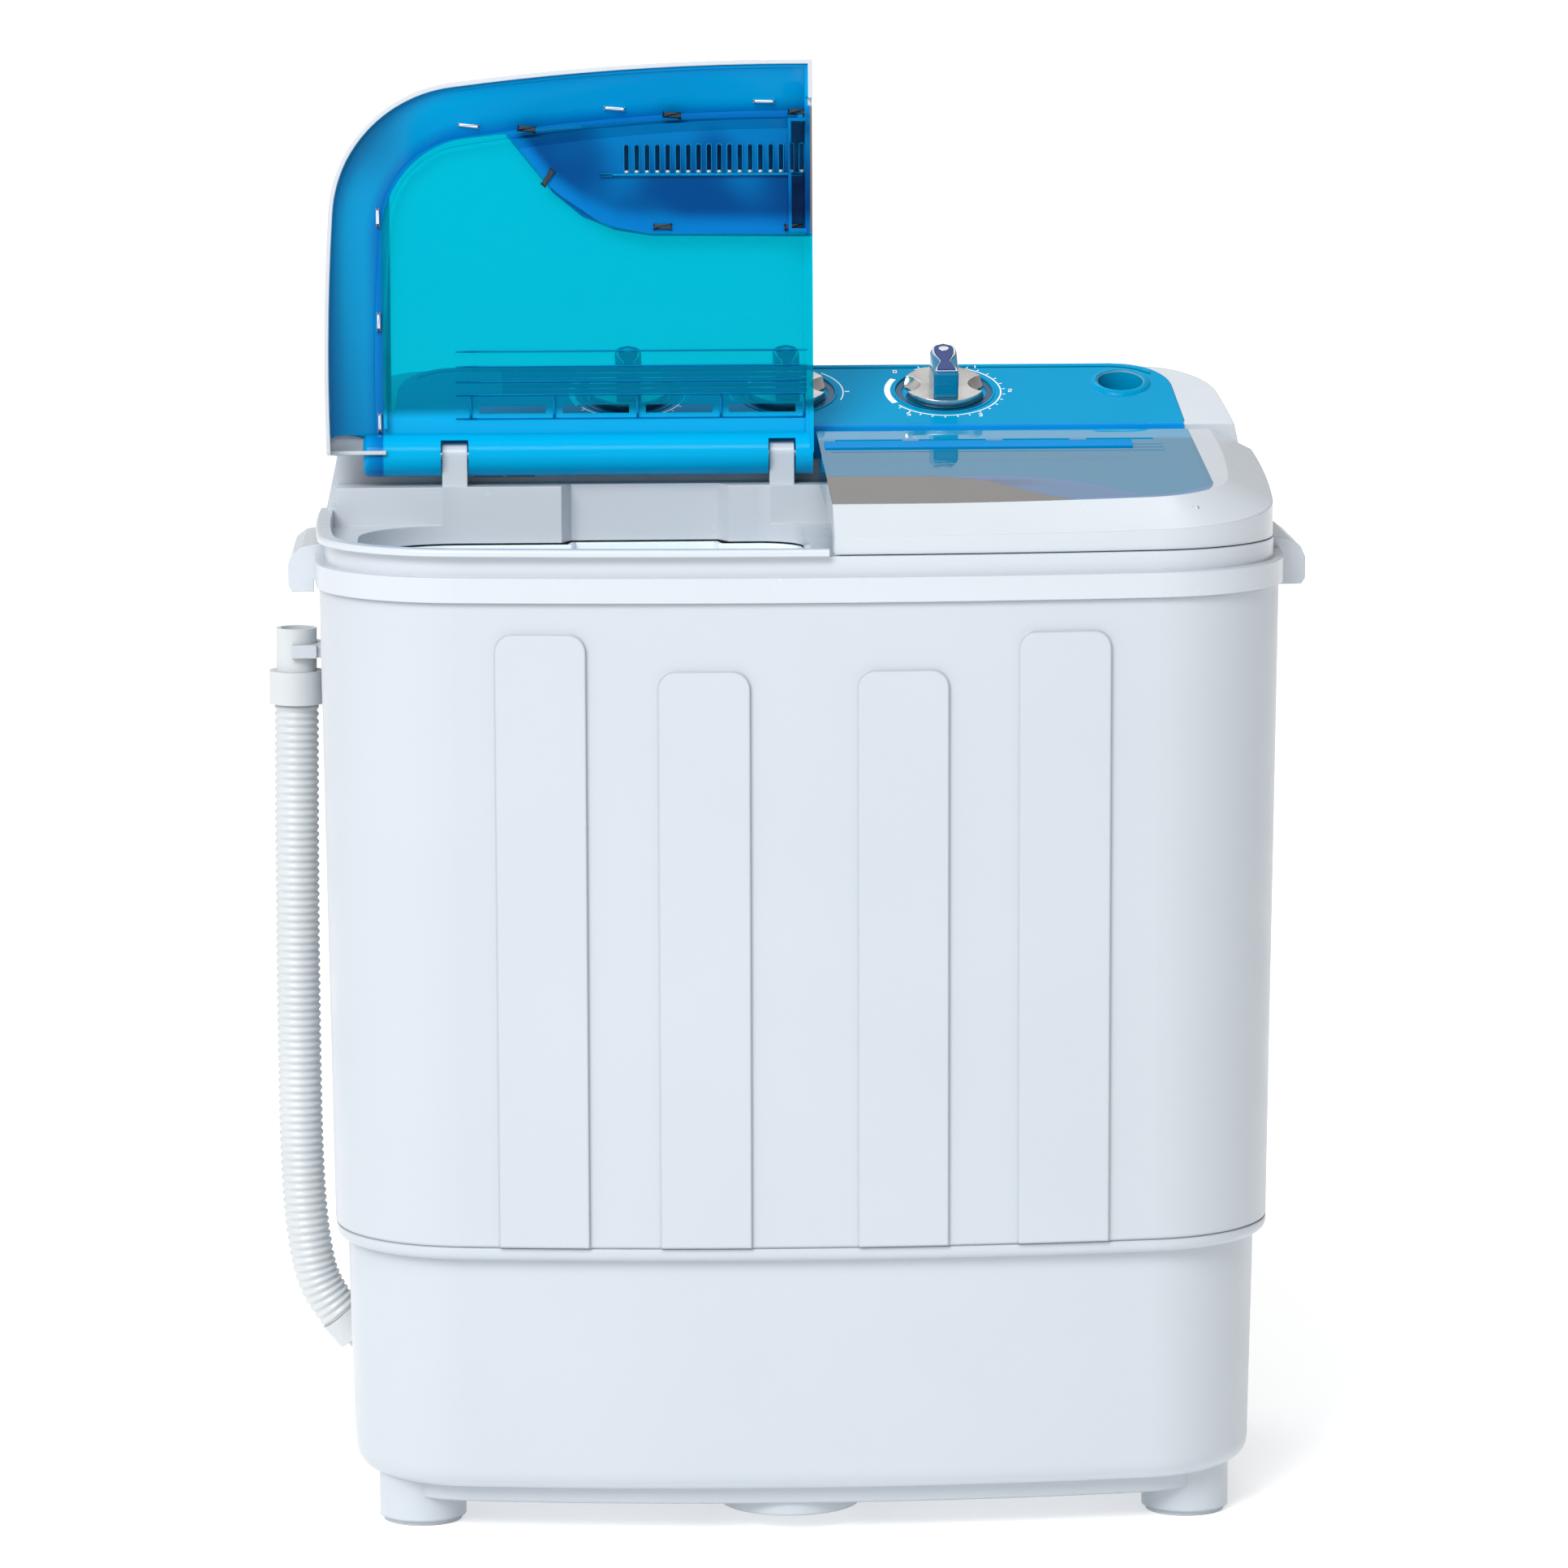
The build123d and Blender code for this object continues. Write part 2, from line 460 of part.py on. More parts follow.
# ---------------------------------------------------------------- lids, built closed
TILT = 5.93
PT = Plane(origin=(0, -150, 603.4), x_dir=(1, 0, 0),
           z_dir=(0, -math.sin(math.radians(TILT)), math.cos(math.radians(TILT))))


def lid_solid(side, i, d, z0):
    """Closed-lid volume: i moves its sides in, d moves its top down."""
    top = Plane(origin=PT.origin - PT.z_dir * d, x_dir=(1, 0, 0), z_dir=PT.z_dir)
    lo = top * Pos(0, 150, -12.95) * outline(5 + i)
    hi = top * Pos(0, 150, 0) * outline(31 + i)
    t = loft([lo, hi], ruled=True) + extrude(lo, amount=-90)
    x0, x1 = (SEAM_R + i, 300) if side > 0 else (-300, SEAM_L - i)
    return t & prism(6 + i, z0, 660) & bx(x0, x1, -200, HY, z0, 660)


def sloped(shape, z):
    return shape


def make_lid(side):
    z0 = 577.2 if side > 0 else 581.6
    sx0, sx1 = (SEAM_R, 300) if side > 0 else (-300, SEAM_L)
    posts = POSTS_S if side > 0 else POSTS_W
    L0 = lid_solid(side, 0, 0, z0)
    L1 = lid_solid(side, 2.4, 2.4, z0 - 5)
    L2 = lid_solid(side, 4.4, 4.4, z0 - 5)
    e = 239.0 * side
    s = SEAM_R if side > 0 else SEAM_L
    pts = [(s - side * 5, -150), (e, -150), (e, 80), (s - side * 5, 80)]
    wf = make_face(Polyline(*pts, close=True))
    vv = min(wf.vertices(), key=lambda q: (q.X - e) ** 2 + (q.Y + 150) ** 2)
    wf = fillet([vv], 54)
    win = extrude(Pos(0, 0, 560) * wf, amount=100) & prism(31.6, 560, 660)
    frame_ = (L0 - L1) - win
    w0, w1 = sorted((side * 242.0, side * 290.0))
    rear = L0 & bx(w0, w1, HY - 2.4, HY, 597, 660)
    frame_ += rear
    # lower part of the seam side is open above the tub rim
    low_cut = extrude(Plane.YZ * make_face(Polyline((-155, 560), (70, 560), (70, 600), (30, 599), (-155, 586), close=True)), amount=12, both=True)
    low_cut = Pos(s, 0, 0) * low_cut
    frame_ -= low_cut & bx(min(s - side * 1, s + side * 4), max(s - side * 1, s + side * 4), -154, 80, 560, 600)
    inner = (L1 - L2)
    skirt_cut = Plane(origin=PT.origin - PT.z_dir * 18, x_dir=(1, 0, 0), z_dir=PT.z_dir) * Pos(0, 150, -60) * Box(700, 600, 120)
    pan = (inner - skirt_cut) + ((L0 - L1) & win)
    # chrome handle zone
    hx = s + side * 142.5
    hz = make_face(Polyline((s - side * 5, -152), (s + side * 152, -152), (s + side * 152, -149.5), (s + side * 126, -132),
                            (s + side * 108, -108), (s + side * 90, -85), (s + side * 62, -75.5), (s - side * 5, -74), close=True))
    near = lambda px, py: [min(hz.vertices(), key=lambda q: (q.X - px) ** 2 + (q.Y - py) ** 2)]
    hz = fillet(near(s + side * 126, -132), 20)
    hz = fillet(near(s + side * 90, -85), 20)
    hz = fillet(near(s + side * 62, -75.5), 30)
    H = extrude(Pos(0, 0, 560) * hz, amount=100)
    Lh = lid_solid(side, 1.3, 1.3, z0 - 5)
    handle = ((L0 - Lh) & H) - low_cut
    handle &= win
    pan -= handle
    pan -= low_cut
    # ridge round the clear window and box behind the handle
    L3 = lid_solid(side, 9, 9, z0 - 5)
    ring = (prism(40, 560, 660) - prism(42, 560, 660)) & bx(sx0 + 6 if side > 0 else sx0, sx1 if side > 0 else sx1 - 6, -200, 40, 560, 660)
    pan += ring & (L2 - L3)
    L4 = lid_solid(side, 13, 13, z0 - 5)
    L5 = lid_solid(side, 14.8, 14.8, z0 - 5)
    bz = make_face(Polyline((s - side * 5, -152), (s + side * 196, -152), (s + side * 184, -137), (s + side * 155, -101),
                            (s + side * 124, -80), (s + side * 97, -75), (s - side * 5, -74), close=True))
    nearb = lambda px, py: [min(bz.vertices(), key=lambda q: (q.X - px) ** 2 + (q.Y - py) ** 2)]
    bz = fillet(nearb(s + side * 124, -80), 40)
    bz = fillet(nearb(s + side * 155, -101), 60)
    H = extrude(Pos(0, 0, 560) * bz, amount=100) & prism(42.0, 560, 660)
    Hin = extrude(Pos(0, 0, 560) * offset(bz, -2.0), amount=100) & prism(44.0, 560, 660)
    clear = bx(min(s + side * 4.4, e), max(s + side * 4.4, e), -148, 40, 560, 660)
    pan += ((L2 - L5) & (H - Hin) & clear)
    back = (L4 - L5) & H & clear
    for k in range(18):
        xx = s + side * (6.2 + 6.15 * k)
        back -= bx(xx - 1.3, xx + 1.3, -127, -111, 560, 660)
    pan += back
    # hinge barrel
    b0, b1 = (SEAM_R + 0.5, 242.0) if side > 0 else (-242.0, SEAM_L - 0.5)
    pan += xcyl(b0, b1, HY, HZ, R_BARREL)
    c0, c1 = (242.0, 256.0) if side > 0 else (-256.0, -242.0)
    endb = xcyl(c0, c1, HY, HZ, R_BARREL)
    endb = try_fillet(endb, [q for q in endb.edges() if abs(q.center().X) > 255 and q.length > 20], 4.0)
    endl = endb & bx(c0 - 5, c1 + 5, HY - 20, HY + 20, HZ - 20, HZ + 2)
    endb = endb & bx(c0 - 5, c1 + 5, HY - 20, HY + 20, HZ + 2, HZ + 20)
    pan -= xcyl(*((-300, -242.0) if side < 0 else (242.0, 300)), HY, HZ, R_BARREL + 0.01)
    pan -= rear
    pan += endl
    pan -= lid_gap(side)
    for k, y in enumerate((-6, 3, 12)):
        g0, g1 = sorted((s + side * 6, s + side * 204))
        pan -= Plane(origin=(0, y, 603.4 + (y + 150) * math.tan(math.radians(TILT)) + 0.2), x_dir=(1, 0, 0), z_dir=PT.z_dir) * Pos((g0 + g1) / 2, 0, 0) * Box(g1 - g0, 1.6, 1.6)
    for k in range(4):
        c = s + side * (30 + 50 * k)
        pan -= bx(c - 20, c + 20, 26, 31, 600, 660)
    pins = None
    for x0, x1 in posts:
        cut = bx(x0 - 0.7, x1 + 0.7, HY - 8.6, HY + 0.6, 590, 620.1) + bx(x0 - 0.7, x1 + 0.7, HY, 80, 590, 640)
        pan -= cut
        frame_ -= cut
        pan -= xcyl(x0 - 7, x1 + 7, HY, HZ, 3.0)
        p = xcyl(x0 - 6.9, x1 + 6.9, HY, HZ, 3.0)
        pins = p if pins is None else pins + p
    frame_ -= xcyl(*((0, 242.0) if side > 0 else (-242.0, 50)), HY, HZ, R_BARREL + 0.01)
    frame_ -= endl
    frame_ += endb
    return frame_, pan, handle, pins


def lid_gap(side):
    """Clears the barrel's underside inside the closed lid ends."""
    return bx(-400, -399, 0, 1, 0, 1)


def solids_of(sh, vmin=30.0):
    s = [q for q in sh.solids() if q.volume > vmin]
    return Compound(s) if len(s) > 1 else s[0]


for side, name in ((-1, "wash_lid"), (1, "spin_lid")):
    fr, pa, ha, pi = make_lid(side)
    for sh, suffix in ((fr, "frame"), (pa, "panel"), (ha, "handle"), (pi, "pins")):
        if side < 0:
            sh = sh.rotate(Axis((0, HY, HZ), (1, 0, 0)), -OPEN)
        keep(sh, name + "_" + suffix)

for name, sh in nodes.items():
    export_step(solids_of(sh), "parts/%s.step" % name)
print(len(nodes), "nodes")
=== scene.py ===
import bpy
import bmesh
import json
import math
from mathutils import Vector, Matrix, noise


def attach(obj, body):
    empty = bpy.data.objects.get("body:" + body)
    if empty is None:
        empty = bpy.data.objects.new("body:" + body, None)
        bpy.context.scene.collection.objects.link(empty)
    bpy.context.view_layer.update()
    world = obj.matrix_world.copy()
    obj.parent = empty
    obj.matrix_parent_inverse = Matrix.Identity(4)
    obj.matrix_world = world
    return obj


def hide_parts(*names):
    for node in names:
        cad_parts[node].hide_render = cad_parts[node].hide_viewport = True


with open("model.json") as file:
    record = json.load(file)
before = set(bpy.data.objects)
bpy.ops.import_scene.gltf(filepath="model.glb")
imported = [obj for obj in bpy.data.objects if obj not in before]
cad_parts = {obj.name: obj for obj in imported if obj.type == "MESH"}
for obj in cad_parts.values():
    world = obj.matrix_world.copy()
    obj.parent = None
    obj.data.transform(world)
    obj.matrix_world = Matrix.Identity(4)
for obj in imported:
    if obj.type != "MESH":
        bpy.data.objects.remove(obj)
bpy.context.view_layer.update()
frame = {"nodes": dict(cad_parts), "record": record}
scene = bpy.context.scene
scene.view_settings.view_transform = "Standard"
scene.view_settings.look = "None"

NODES = frame["nodes"]

# ------------------------------------------------------------------ camera
cam_data = bpy.data.cameras.new("camera")
cam_data.lens = 163.04
cam_data.sensor_width = 36.0
cam_data.clip_end = 400
cam = bpy.data.objects.new("camera", cam_data)
scene.collection.objects.link(cam)
C = Vector((-0.1712, -4.1840, 1.0438))
T = Vector((-0.0068, 0.0, 0.4195))
fwd = (T - C).normalized()
rgt = fwd.cross(Vector((0, 0, 1))).normalized()
upv = rgt.cross(fwd)
roll = math.radians(-0.19)
R_ = rgt * math.cos(roll) + upv * math.sin(roll)
U_ = -rgt * math.sin(roll) + upv * math.cos(roll)
cam.matrix_world = Matrix(((R_.x, U_.x, -fwd.x, C.x), (R_.y, U_.y, -fwd.y, C.y),
                           (R_.z, U_.z, -fwd.z, C.z), (0, 0, 0, 1)))
scene.camera = cam


# ------------------------------------------------------------------ node helpers
def new_mat(name):
    m = bpy.data.materials.new(name)
    m.use_nodes = True
    nt = m.node_tree
    nt.nodes.clear()
    out = nt.nodes.new("ShaderNodeOutputMaterial")
    return m, nt, out


def principled(nt, color, rough=0.35, **k):
    p = nt.nodes.new("ShaderNodeBsdfPrincipled")
    p.inputs["Base Color"].default_value = (*color, 1)
    p.inputs["Roughness"].default_value = rough
    for a, b in k.items():
        p.inputs[a.replace("_", " ")].default_value = b
    return p


def noise_tex(nt, scale, detail=3.0, rough=0.55, coord="Object"):
    tc = nt.nodes.new("ShaderNodeTexCoord")
    n = nt.nodes.new("ShaderNodeTexNoise")
    n.inputs["Scale"].default_value = scale
    n.inputs["Detail"].default_value = detail
    n.inputs["Roughness"].default_value = rough
    nt.links.new(tc.outputs[coord], n.inputs["Vector"])
    return n


def vary(nt, p, color, amount, scale):
    """Slow, faint variation of the colour, as moulded plastic has."""
    n = noise_tex(nt, scale, 2.0)
    r = nt.nodes.new("ShaderNodeValToRGB")
    r.color_ramp.elements[0].position = 0.3
    r.color_ramp.elements[1].position = 0.7
    r.color_ramp.elements[0].color = (*[c * (1 - amount) for c in color], 1)
    r.color_ramp.elements[1].color = (*[min(c * (1 + amount), 1) for c in color], 1)
    nt.links.new(n.outputs["Fac"], r.inputs["Fac"])
    nt.links.new(r.outputs["Color"], p.inputs["Base Color"])
    return r


def surface(nt, p, rough, spread, scale, bump, bscale, edge=0.0):
    """Roughness that wanders a little, and a fine bump."""
    n = noise_tex(nt, scale, 4.0)
    mr = nt.nodes.new("ShaderNodeMapRange")
    mr.inputs["From Min"].default_value = 0.3
    mr.inputs["From Max"].default_value = 0.7
    mr.inputs["To Min"].default_value = rough - spread
    mr.inputs["To Max"].default_value = rough + spread
    nt.links.new(n.outputs["Fac"], mr.inputs["Value"])
    nt.links.new(mr.outputs["Result"], p.inputs["Roughness"])
    if bump:
        b = nt.nodes.new("ShaderNodeBump")
        b.inputs["Strength"].default_value = bump
        b.inputs["Distance"].default_value = 0.0004
        n2 = noise_tex(nt, bscale, 2.0)
        nt.links.new(n2.outputs["Fac"], b.inputs["Height"])
        nt.links.new(b.outputs["Normal"], p.inputs["Normal"])
        if edge:
            bv = nt.nodes.new("ShaderNodeBevel")
            bv.samples = 4
            bv.inputs["Radius"].default_value = edge
            nt.links.new(bv.outputs["Normal"], b.inputs["Normal"])


def plastic(name, color, rough=0.3, spread=0.05, bump=0.05, bscale=900, edge=0.0009, var=0.02, vscale=6, **k):
    m, nt, out = new_mat(name)
    p = principled(nt, color, rough, **k)
    vary(nt, p, color, var, vscale)
    surface(nt, p, rough, spread, 30, bump, bscale, edge)
    nt.links.new(p.outputs["BSDF"], out.inputs["Surface"])
    return m


def metal(name, color, rough=0.15, spread=0.04, edge=0.0006, **k):
    m, nt, out = new_mat(name)
    p = principled(nt, color, rough, Metallic=1.0, **k)
    vary(nt, p, color, 0.03, 20)
    surface(nt, p, rough, spread, 60, 0.04, 500, edge)
    nt.links.new(p.outputs["BSDF"], out.inputs["Surface"])
    return m


def clear_plastic(name, tint, body, share, rough=0.08, edge=0.0007, var=0.05, spec=0.5):
    """Tinted see-through plastic: part of the light goes straight through, tinted, the rest is coloured and glossy."""
    m, nt, out = new_mat(name)
    p = principled(nt, body, rough)
    p.inputs["IOR"].default_value = 1.49
    p.inputs["Specular IOR Level"].default_value = spec
    vary(nt, p, body, var, 8)
    surface(nt, p, rough, 0.03, 25, 0.03, 300, edge)
    t = nt.nodes.new("ShaderNodeBsdfTransparent")
    t.inputs["Color"].default_value = (*tint, 1)
    mix = nt.nodes.new("ShaderNodeMixShader")
    mix.inputs["Fac"].default_value = share
    nt.links.new(t.outputs["BSDF"], mix.inputs[1])
    nt.links.new(p.outputs["BSDF"], mix.inputs[2])
    nt.links.new(mix.outputs["Shader"], out.inputs["Surface"])
    return m


def mth(nt, op, a, b=None, c=None):
    n = nt.nodes.new("ShaderNodeMath")
    n.operation = op
    for k, v in enumerate((a, b, c)):
        if v is None:
            continue
        if isinstance(v, (int, float)):
            n.inputs[k].default_value = v
        else:
            nt.links.new(v, n.inputs[k])
    return n.outputs[0]


def sstep(nt, v, e0, e1):
    n = nt.nodes.new("ShaderNodeMapRange")
    n.interpolation_type = "SMOOTHSTEP"
    n.inputs["From Min"].default_value = e0
    n.inputs["From Max"].default_value = e1
    nt.links.new(v, n.inputs["Value"])
    return n.outputs["Result"]


def mixc(nt, fac, a, b):
    n = nt.nodes.new("ShaderNodeMix")
    n.data_type = "RGBA"
    nt.links.new(fac, n.inputs[0])
    for k, v in ((6, a), (7, b)):
        if isinstance(v, tuple):
            n.inputs[k].default_value = (*v, 1)
        else:
            nt.links.new(v, n.inputs[k])
    return n.outputs[2]


def lid_plastic(name, side, opened, window, share_w, rough=0.06, coat=0.0, spec=0.5):
    """Blue clear plastic of a lid: clear in the window. Over the band that backs the white frame the blue is painted
    brighter and more opaque, painted light for the lit frame seen through it, with painted shade at the band's inner
    edge, outer rim and corners.
    Near the hinge a brighter, more opaque blue is painted light for the shaded parts seen through the lid there.
    The grip's box is painted shade: dark blue with darker painted reflection patches of the chrome grip behind it."""
    m, nt, out = new_mat(name)
    tc = nt.nodes.new("ShaderNodeTexCoord")
    xyz = nt.nodes.new("ShaderNodeSeparateXYZ")
    nt.links.new(tc.outputs["Object"], xyz.inputs[0])
    X, Y, Z = xyz.outputs[0], xyz.outputs[1], xyz.outputs[2]
    if opened:
        c, s_ = math.cos(math.radians(98)), math.sin(math.radians(98))
        yc = mth(nt, "ADD", mth(nt, "MULTIPLY_ADD", Y, c, 0.056 - 0.056 * c + 0.612 * s_), mth(nt, "MULTIPLY", Z, -s_))
    else:
        yc = Y
    ax = mth(nt, "ABSOLUTE", X)
    bow = mth(nt, "MULTIPLY", mth(nt, "MULTIPLY", X, X), 0.023 / 0.275 ** 2)
    t = mth(nt, "SUBTRACT", bow, yc)
    r = 0.050
    q1 = mth(nt, "MAXIMUM", mth(nt, "SUBTRACT", t, 0.1445 - r), 0.0)
    q2 = mth(nt, "MAXIMUM", mth(nt, "SUBTRACT", ax, 0.2440 - r), 0.0)
    dist = mth(nt, "SUBTRACT", mth(nt, "SQRT", mth(nt, "ADD", mth(nt, "MULTIPLY", q1, q1), mth(nt, "MULTIPLY", q2, q2))), r)
    # band that backs the white frame: painted light, brighter and more opaque; m_edge, m_rim and m_cor paint shade at
    # its inner edge, outer rim and corners
    m_band = sstep(nt, dist, -0.0012, 0.0006)
    m_edge = mth(nt, "MULTIPLY", m_band, mth(nt, "SUBTRACT", 1.0, sstep(nt, dist, 0.0, 0.011)))
    m_rim = sstep(nt, dist, 0.020, 0.034)
    m_cor = mth(nt, "MULTIPLY", sstep(nt, q1, 0.020, 0.060), sstep(nt, q2, 0.020, 0.060))
    # near the hinge: mask for painted light, a brighter, more opaque blue standing in for the shaded parts seen
    # through the lid
    hinge_painted_light_mask = sstep(nt, yc, 0.026, 0.0345)
    seam = {-1: 0.0135, 1: 0.0155}[side]
    xs = mth(nt, "MULTIPLY", mth(nt, "SUBTRACT", X, seam), float(side))
    ramp = nt.nodes.new("ShaderNodeValToRGB")
    nt.links.new(mth(nt, "MULTIPLY", xs, 1 / 0.196), ramp.inputs["Fac"])
    stops = [(0.0, -73.5), (0.49, -74.5), (0.60, -78), (0.70, -86), (0.79, -100.5), (0.939, -136.5), (1.0, -156)]
    cr = ramp.color_ramp
    while len(cr.elements) < len(stops):
        cr.elements.new(0.5)
    for el, (pos, val) in zip(cr.elements, stops):
        el.position = pos
        k = (val + 200) / 200
        el.color = (k, k, k, 1)
    ye = mth(nt, "MULTIPLY_ADD", ramp.outputs["Color"], 0.2, -0.2)
    dh = mth(nt, "SUBTRACT", ye, yc)
    # grip's box: mask for painted shade over the chrome grip seen through the lid
    m_h = mth(nt, "MULTIPLY", sstep(nt, dh, -0.0010, 0.0010), mth(nt, "SUBTRACT", 1.0, m_band))
    m_hin = sstep(nt, dh, 0.004, 0.016)
    # painted shade in dark blue, with darker noise patches as painted reflections of the chrome grip behind
    n1 = noise_tex(nt, 14, 1.0)
    painted_reflection_patch = sstep(nt, n1.outputs["Fac"], 0.40, 0.62)
    grip_box_painted_shade = mixc(nt, painted_reflection_patch, (0.0, 0.055, 0.22), (0.0, 0.155, 0.42))
    grip_box_painted_shade = mixc(nt, m_hin, (0.0, 0.165, 0.50), grip_box_painted_shade)
    # band colour: painted light for the lit white frame behind, darkened as painted shade at the inner edge, outer rim
    # and corners
    n2 = noise_tex(nt, 5, 1.0)
    slow = sstep(nt, n2.outputs["Fac"], 0.35, 0.65)
    band_painted_light_shade = mixc(nt, slow, (0.0, 0.27, 0.60), (0.0, 0.35, 0.68))
    band_painted_light_shade = mixc(nt, m_edge, band_painted_light_shade, (0.0, 0.15, 0.50))
    band_painted_light_shade = mixc(nt, m_rim, band_painted_light_shade, (0.0, 0.20, 0.52))
    band_painted_light_shade = mixc(nt, m_cor, band_painted_light_shade, (0.0, 0.18, 0.42))
    # painted light near the hinge, painted shade and reflections in the grip's box, painted light and shade in the
    # band
    col = mixc(nt, hinge_painted_light_mask, window, (0.0, 0.44, 0.80))
    col = mixc(nt, m_h, col, grip_box_painted_shade)
    col = mixc(nt, m_band, col, band_painted_light_shade)
    p = principled(nt, window, rough)
    p.inputs["IOR"].default_value = 1.5
    p.inputs["Specular IOR Level"].default_value = spec
    p.inputs["Coat Weight"].default_value = coat
    p.inputs["Coat Roughness"].default_value = 0.03
    nt.links.new(col, p.inputs["Base Color"])
    surface(nt, p, rough, 0.02, 25, 0.02, 120, 0.0)
    tr = nt.nodes.new("ShaderNodeBsdfTransparent")
    tr.inputs["Color"].default_value = (0.0, 0.745, 0.835, 1)
    # opacity: the near-hinge zone, the grip's box and the band are made more opaque, part of the painted light and
    # shade above
    f = mth(nt, "MULTIPLY_ADD", hinge_painted_light_mask, 0.80 - share_w, share_w)
    f = mth(nt, "MAXIMUM", f, mth(nt, "MULTIPLY", m_h, 0.86))
    f = mth(nt, "MAXIMUM", f, mth(nt, "MULTIPLY", m_band, 0.90))
    mix = nt.nodes.new("ShaderNodeMixShader")
    nt.links.new(f, mix.inputs["Fac"])
    nt.links.new(tr.outputs["BSDF"], mix.inputs[1])
    nt.links.new(p.outputs["BSDF"], mix.inputs[2])
    nt.links.new(mix.outputs["Shader"], out.inputs["Surface"])
    return m


M = {}
M["shell"] = plastic("shell_white", (0.455, 0.497, 0.540), 0.34, 0.05, 0.05, 700, 0.0024, 0.012)
M["frame"] = plastic("frame_white", (0.50, 0.54, 0.585), 0.24, 0.04, 0.03, 700, 0.0010, 0.012)
M["lid_blue"] = lid_plastic("lid_blue_wash", -1, True, (0.0, 0.33, 0.50), 0.30, spec=0.10)
M["lid_closed"] = lid_plastic("lid_blue_spin", 1, False, (0.0, 0.31, 0.56), 0.70, 0.04, 1.0)
M["panel_blue"] = clear_plastic("panel_blue", (0.03, 0.50, 0.70), (0.0, 0.285, 0.53), 0.88, 0.12, spec=0.06)
# the tub's white has the shell's hue but is painted much lighter: painted light for the tub's shaded inside
M["tub"] = plastic("tub_white", (0.80, 0.87, 0.94), 0.25, 0.04, 0.03, 500, 0.0015, 0.015)
M["chrome"] = metal("chrome_warm", (0.44, 0.425, 0.40), 0.09, 0.03)
M["disc"] = metal("knob_disc", (0.66, 0.65, 0.63), 0.22, 0.04)
M["navy"] = plastic("navy_inlay", (0.012, 0.035, 0.16), 0.35, 0.04, 0.02, Specular_IOR_Level=0.2)
M["grip"] = plastic("grip_blue", (0.0, 0.16, 0.30), 0.12, 0.03, 0.02)
M["hose"] = plastic("hose_milky", (0.52, 0.545, 0.56), 0.35, 0.06, 0.03, 500, 0.0003, 0.03, 12)
M["grey"] = plastic("grey_plastic", (0.32, 0.33, 0.35), 0.45, 0.06, 0.10, 600)
M["dark"] = plastic("dark_plastic", (0.03, 0.03, 0.035), 0.42, 0.06, 0.10, 600)
M["rubber"] = plastic("rubber_black", (0.02, 0.02, 0.02), 0.7, 0.08, 0.25, 900)
M["steel"] = metal("steel", (0.55, 0.55, 0.56), 0.30, 0.06)
M["motor"] = plastic("motor_paint", (0.08, 0.09, 0.10), 0.40, 0.08, 0.20, 500)
M["alu"] = metal("aluminium", (0.62, 0.62, 0.64), 0.35, 0.06)

SLOT_TO = {"white_shell": "shell", "white_frame": "frame", "blue_clear": "lid_blue", "panel_blue": "panel_blue",
           "tub_white": "tub", "chrome": "chrome", "navy": "navy", "grip_blue": "grip", "hose_milky": "hose",
           "grey_plastic": "grey", "dark_plastic": "dark", "rubber": "rubber", "steel": "steel",
           "motor_steel": "motor", "aluminium": "alu"}
for sp in frame["record"]["subparts"]:
    ob = NODES[sp["node"]]
    mat = M[SLOT_TO[sp["material_slot"]]]
    ob.data.materials.clear()
    ob.data.materials.append(mat)
NODES["spin_lid_panel"].data.materials.clear()
NODES["spin_lid_panel"].data.materials.append(M["lid_closed"])
for n in ("wash_timer_disc", "drain_selector_disc", "spin_timer_disc"):
    NODES[n].data.materials.clear()
    NODES[n].data.materials.append(M["disc"])


def finish_mesh(name, bm, mat, body, smooth=40.0):
    me = bpy.data.meshes.new(name)
    bm.to_mesh(me)
    bm.free()
    ob = bpy.data.objects.new(name, me)
    scene.collection.objects.link(ob)
    me.materials.append(mat)
    for p in me.polygons:
        p.use_smooth = True
    me.set_sharp_from_angle(angle=math.radians(smooth))
    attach(ob, body)
    return ob


# ------------------------------------------------------------------ drain hose
HOSE = [(-0.277, 0.095, 0.0795), (-0.2892, 0.095, 0.09404), (-0.2962, 0.095, 0.126), (-0.2996, 0.095, 0.174),
        (-0.3002, 0.095, 0.262), (-0.3000, 0.095, 0.360), (-0.2989, 0.095, 0.458)]
cu = bpy.data.curves.new("hose_line", "CURVE")
cu.dimensions = "3D"
sp = cu.splines.new("NURBS")
sp.points.add(len(HOSE) - 1)
for p, q in zip(sp.points, HOSE):
    p.co = (*q, 1)
sp.order_u = 3
sp.use_endpoint_u = True
sp.resolution_u = 40
tmp = bpy.data.objects.new("hose_line", cu)
scene.collection.objects.link(tmp)
bpy.context.view_layer.update()
line = bpy.data.meshes.new_from_object(tmp)
PATH = [v.co.copy() for v in line.vertices]
bpy.data.objects.remove(tmp)
bpy.data.meshes.remove(line)
cum = [0.0]
for a, b in zip(PATH, PATH[1:]):
    cum.append(cum[-1] + (b - a).length)
LEN = cum[-1]


def at(s):
    s = max(0.0, min(s, LEN))
    for i in range(len(cum) - 1):
        if cum[i + 1] >= s:
            t = (s - cum[i]) / max(cum[i + 1] - cum[i], 1e-9)
            return PATH[i].lerp(PATH[i + 1], t), (PATH[i + 1] - PATH[i]).normalized()
    return PATH[-1], (PATH[-1] - PATH[-2]).normalized()


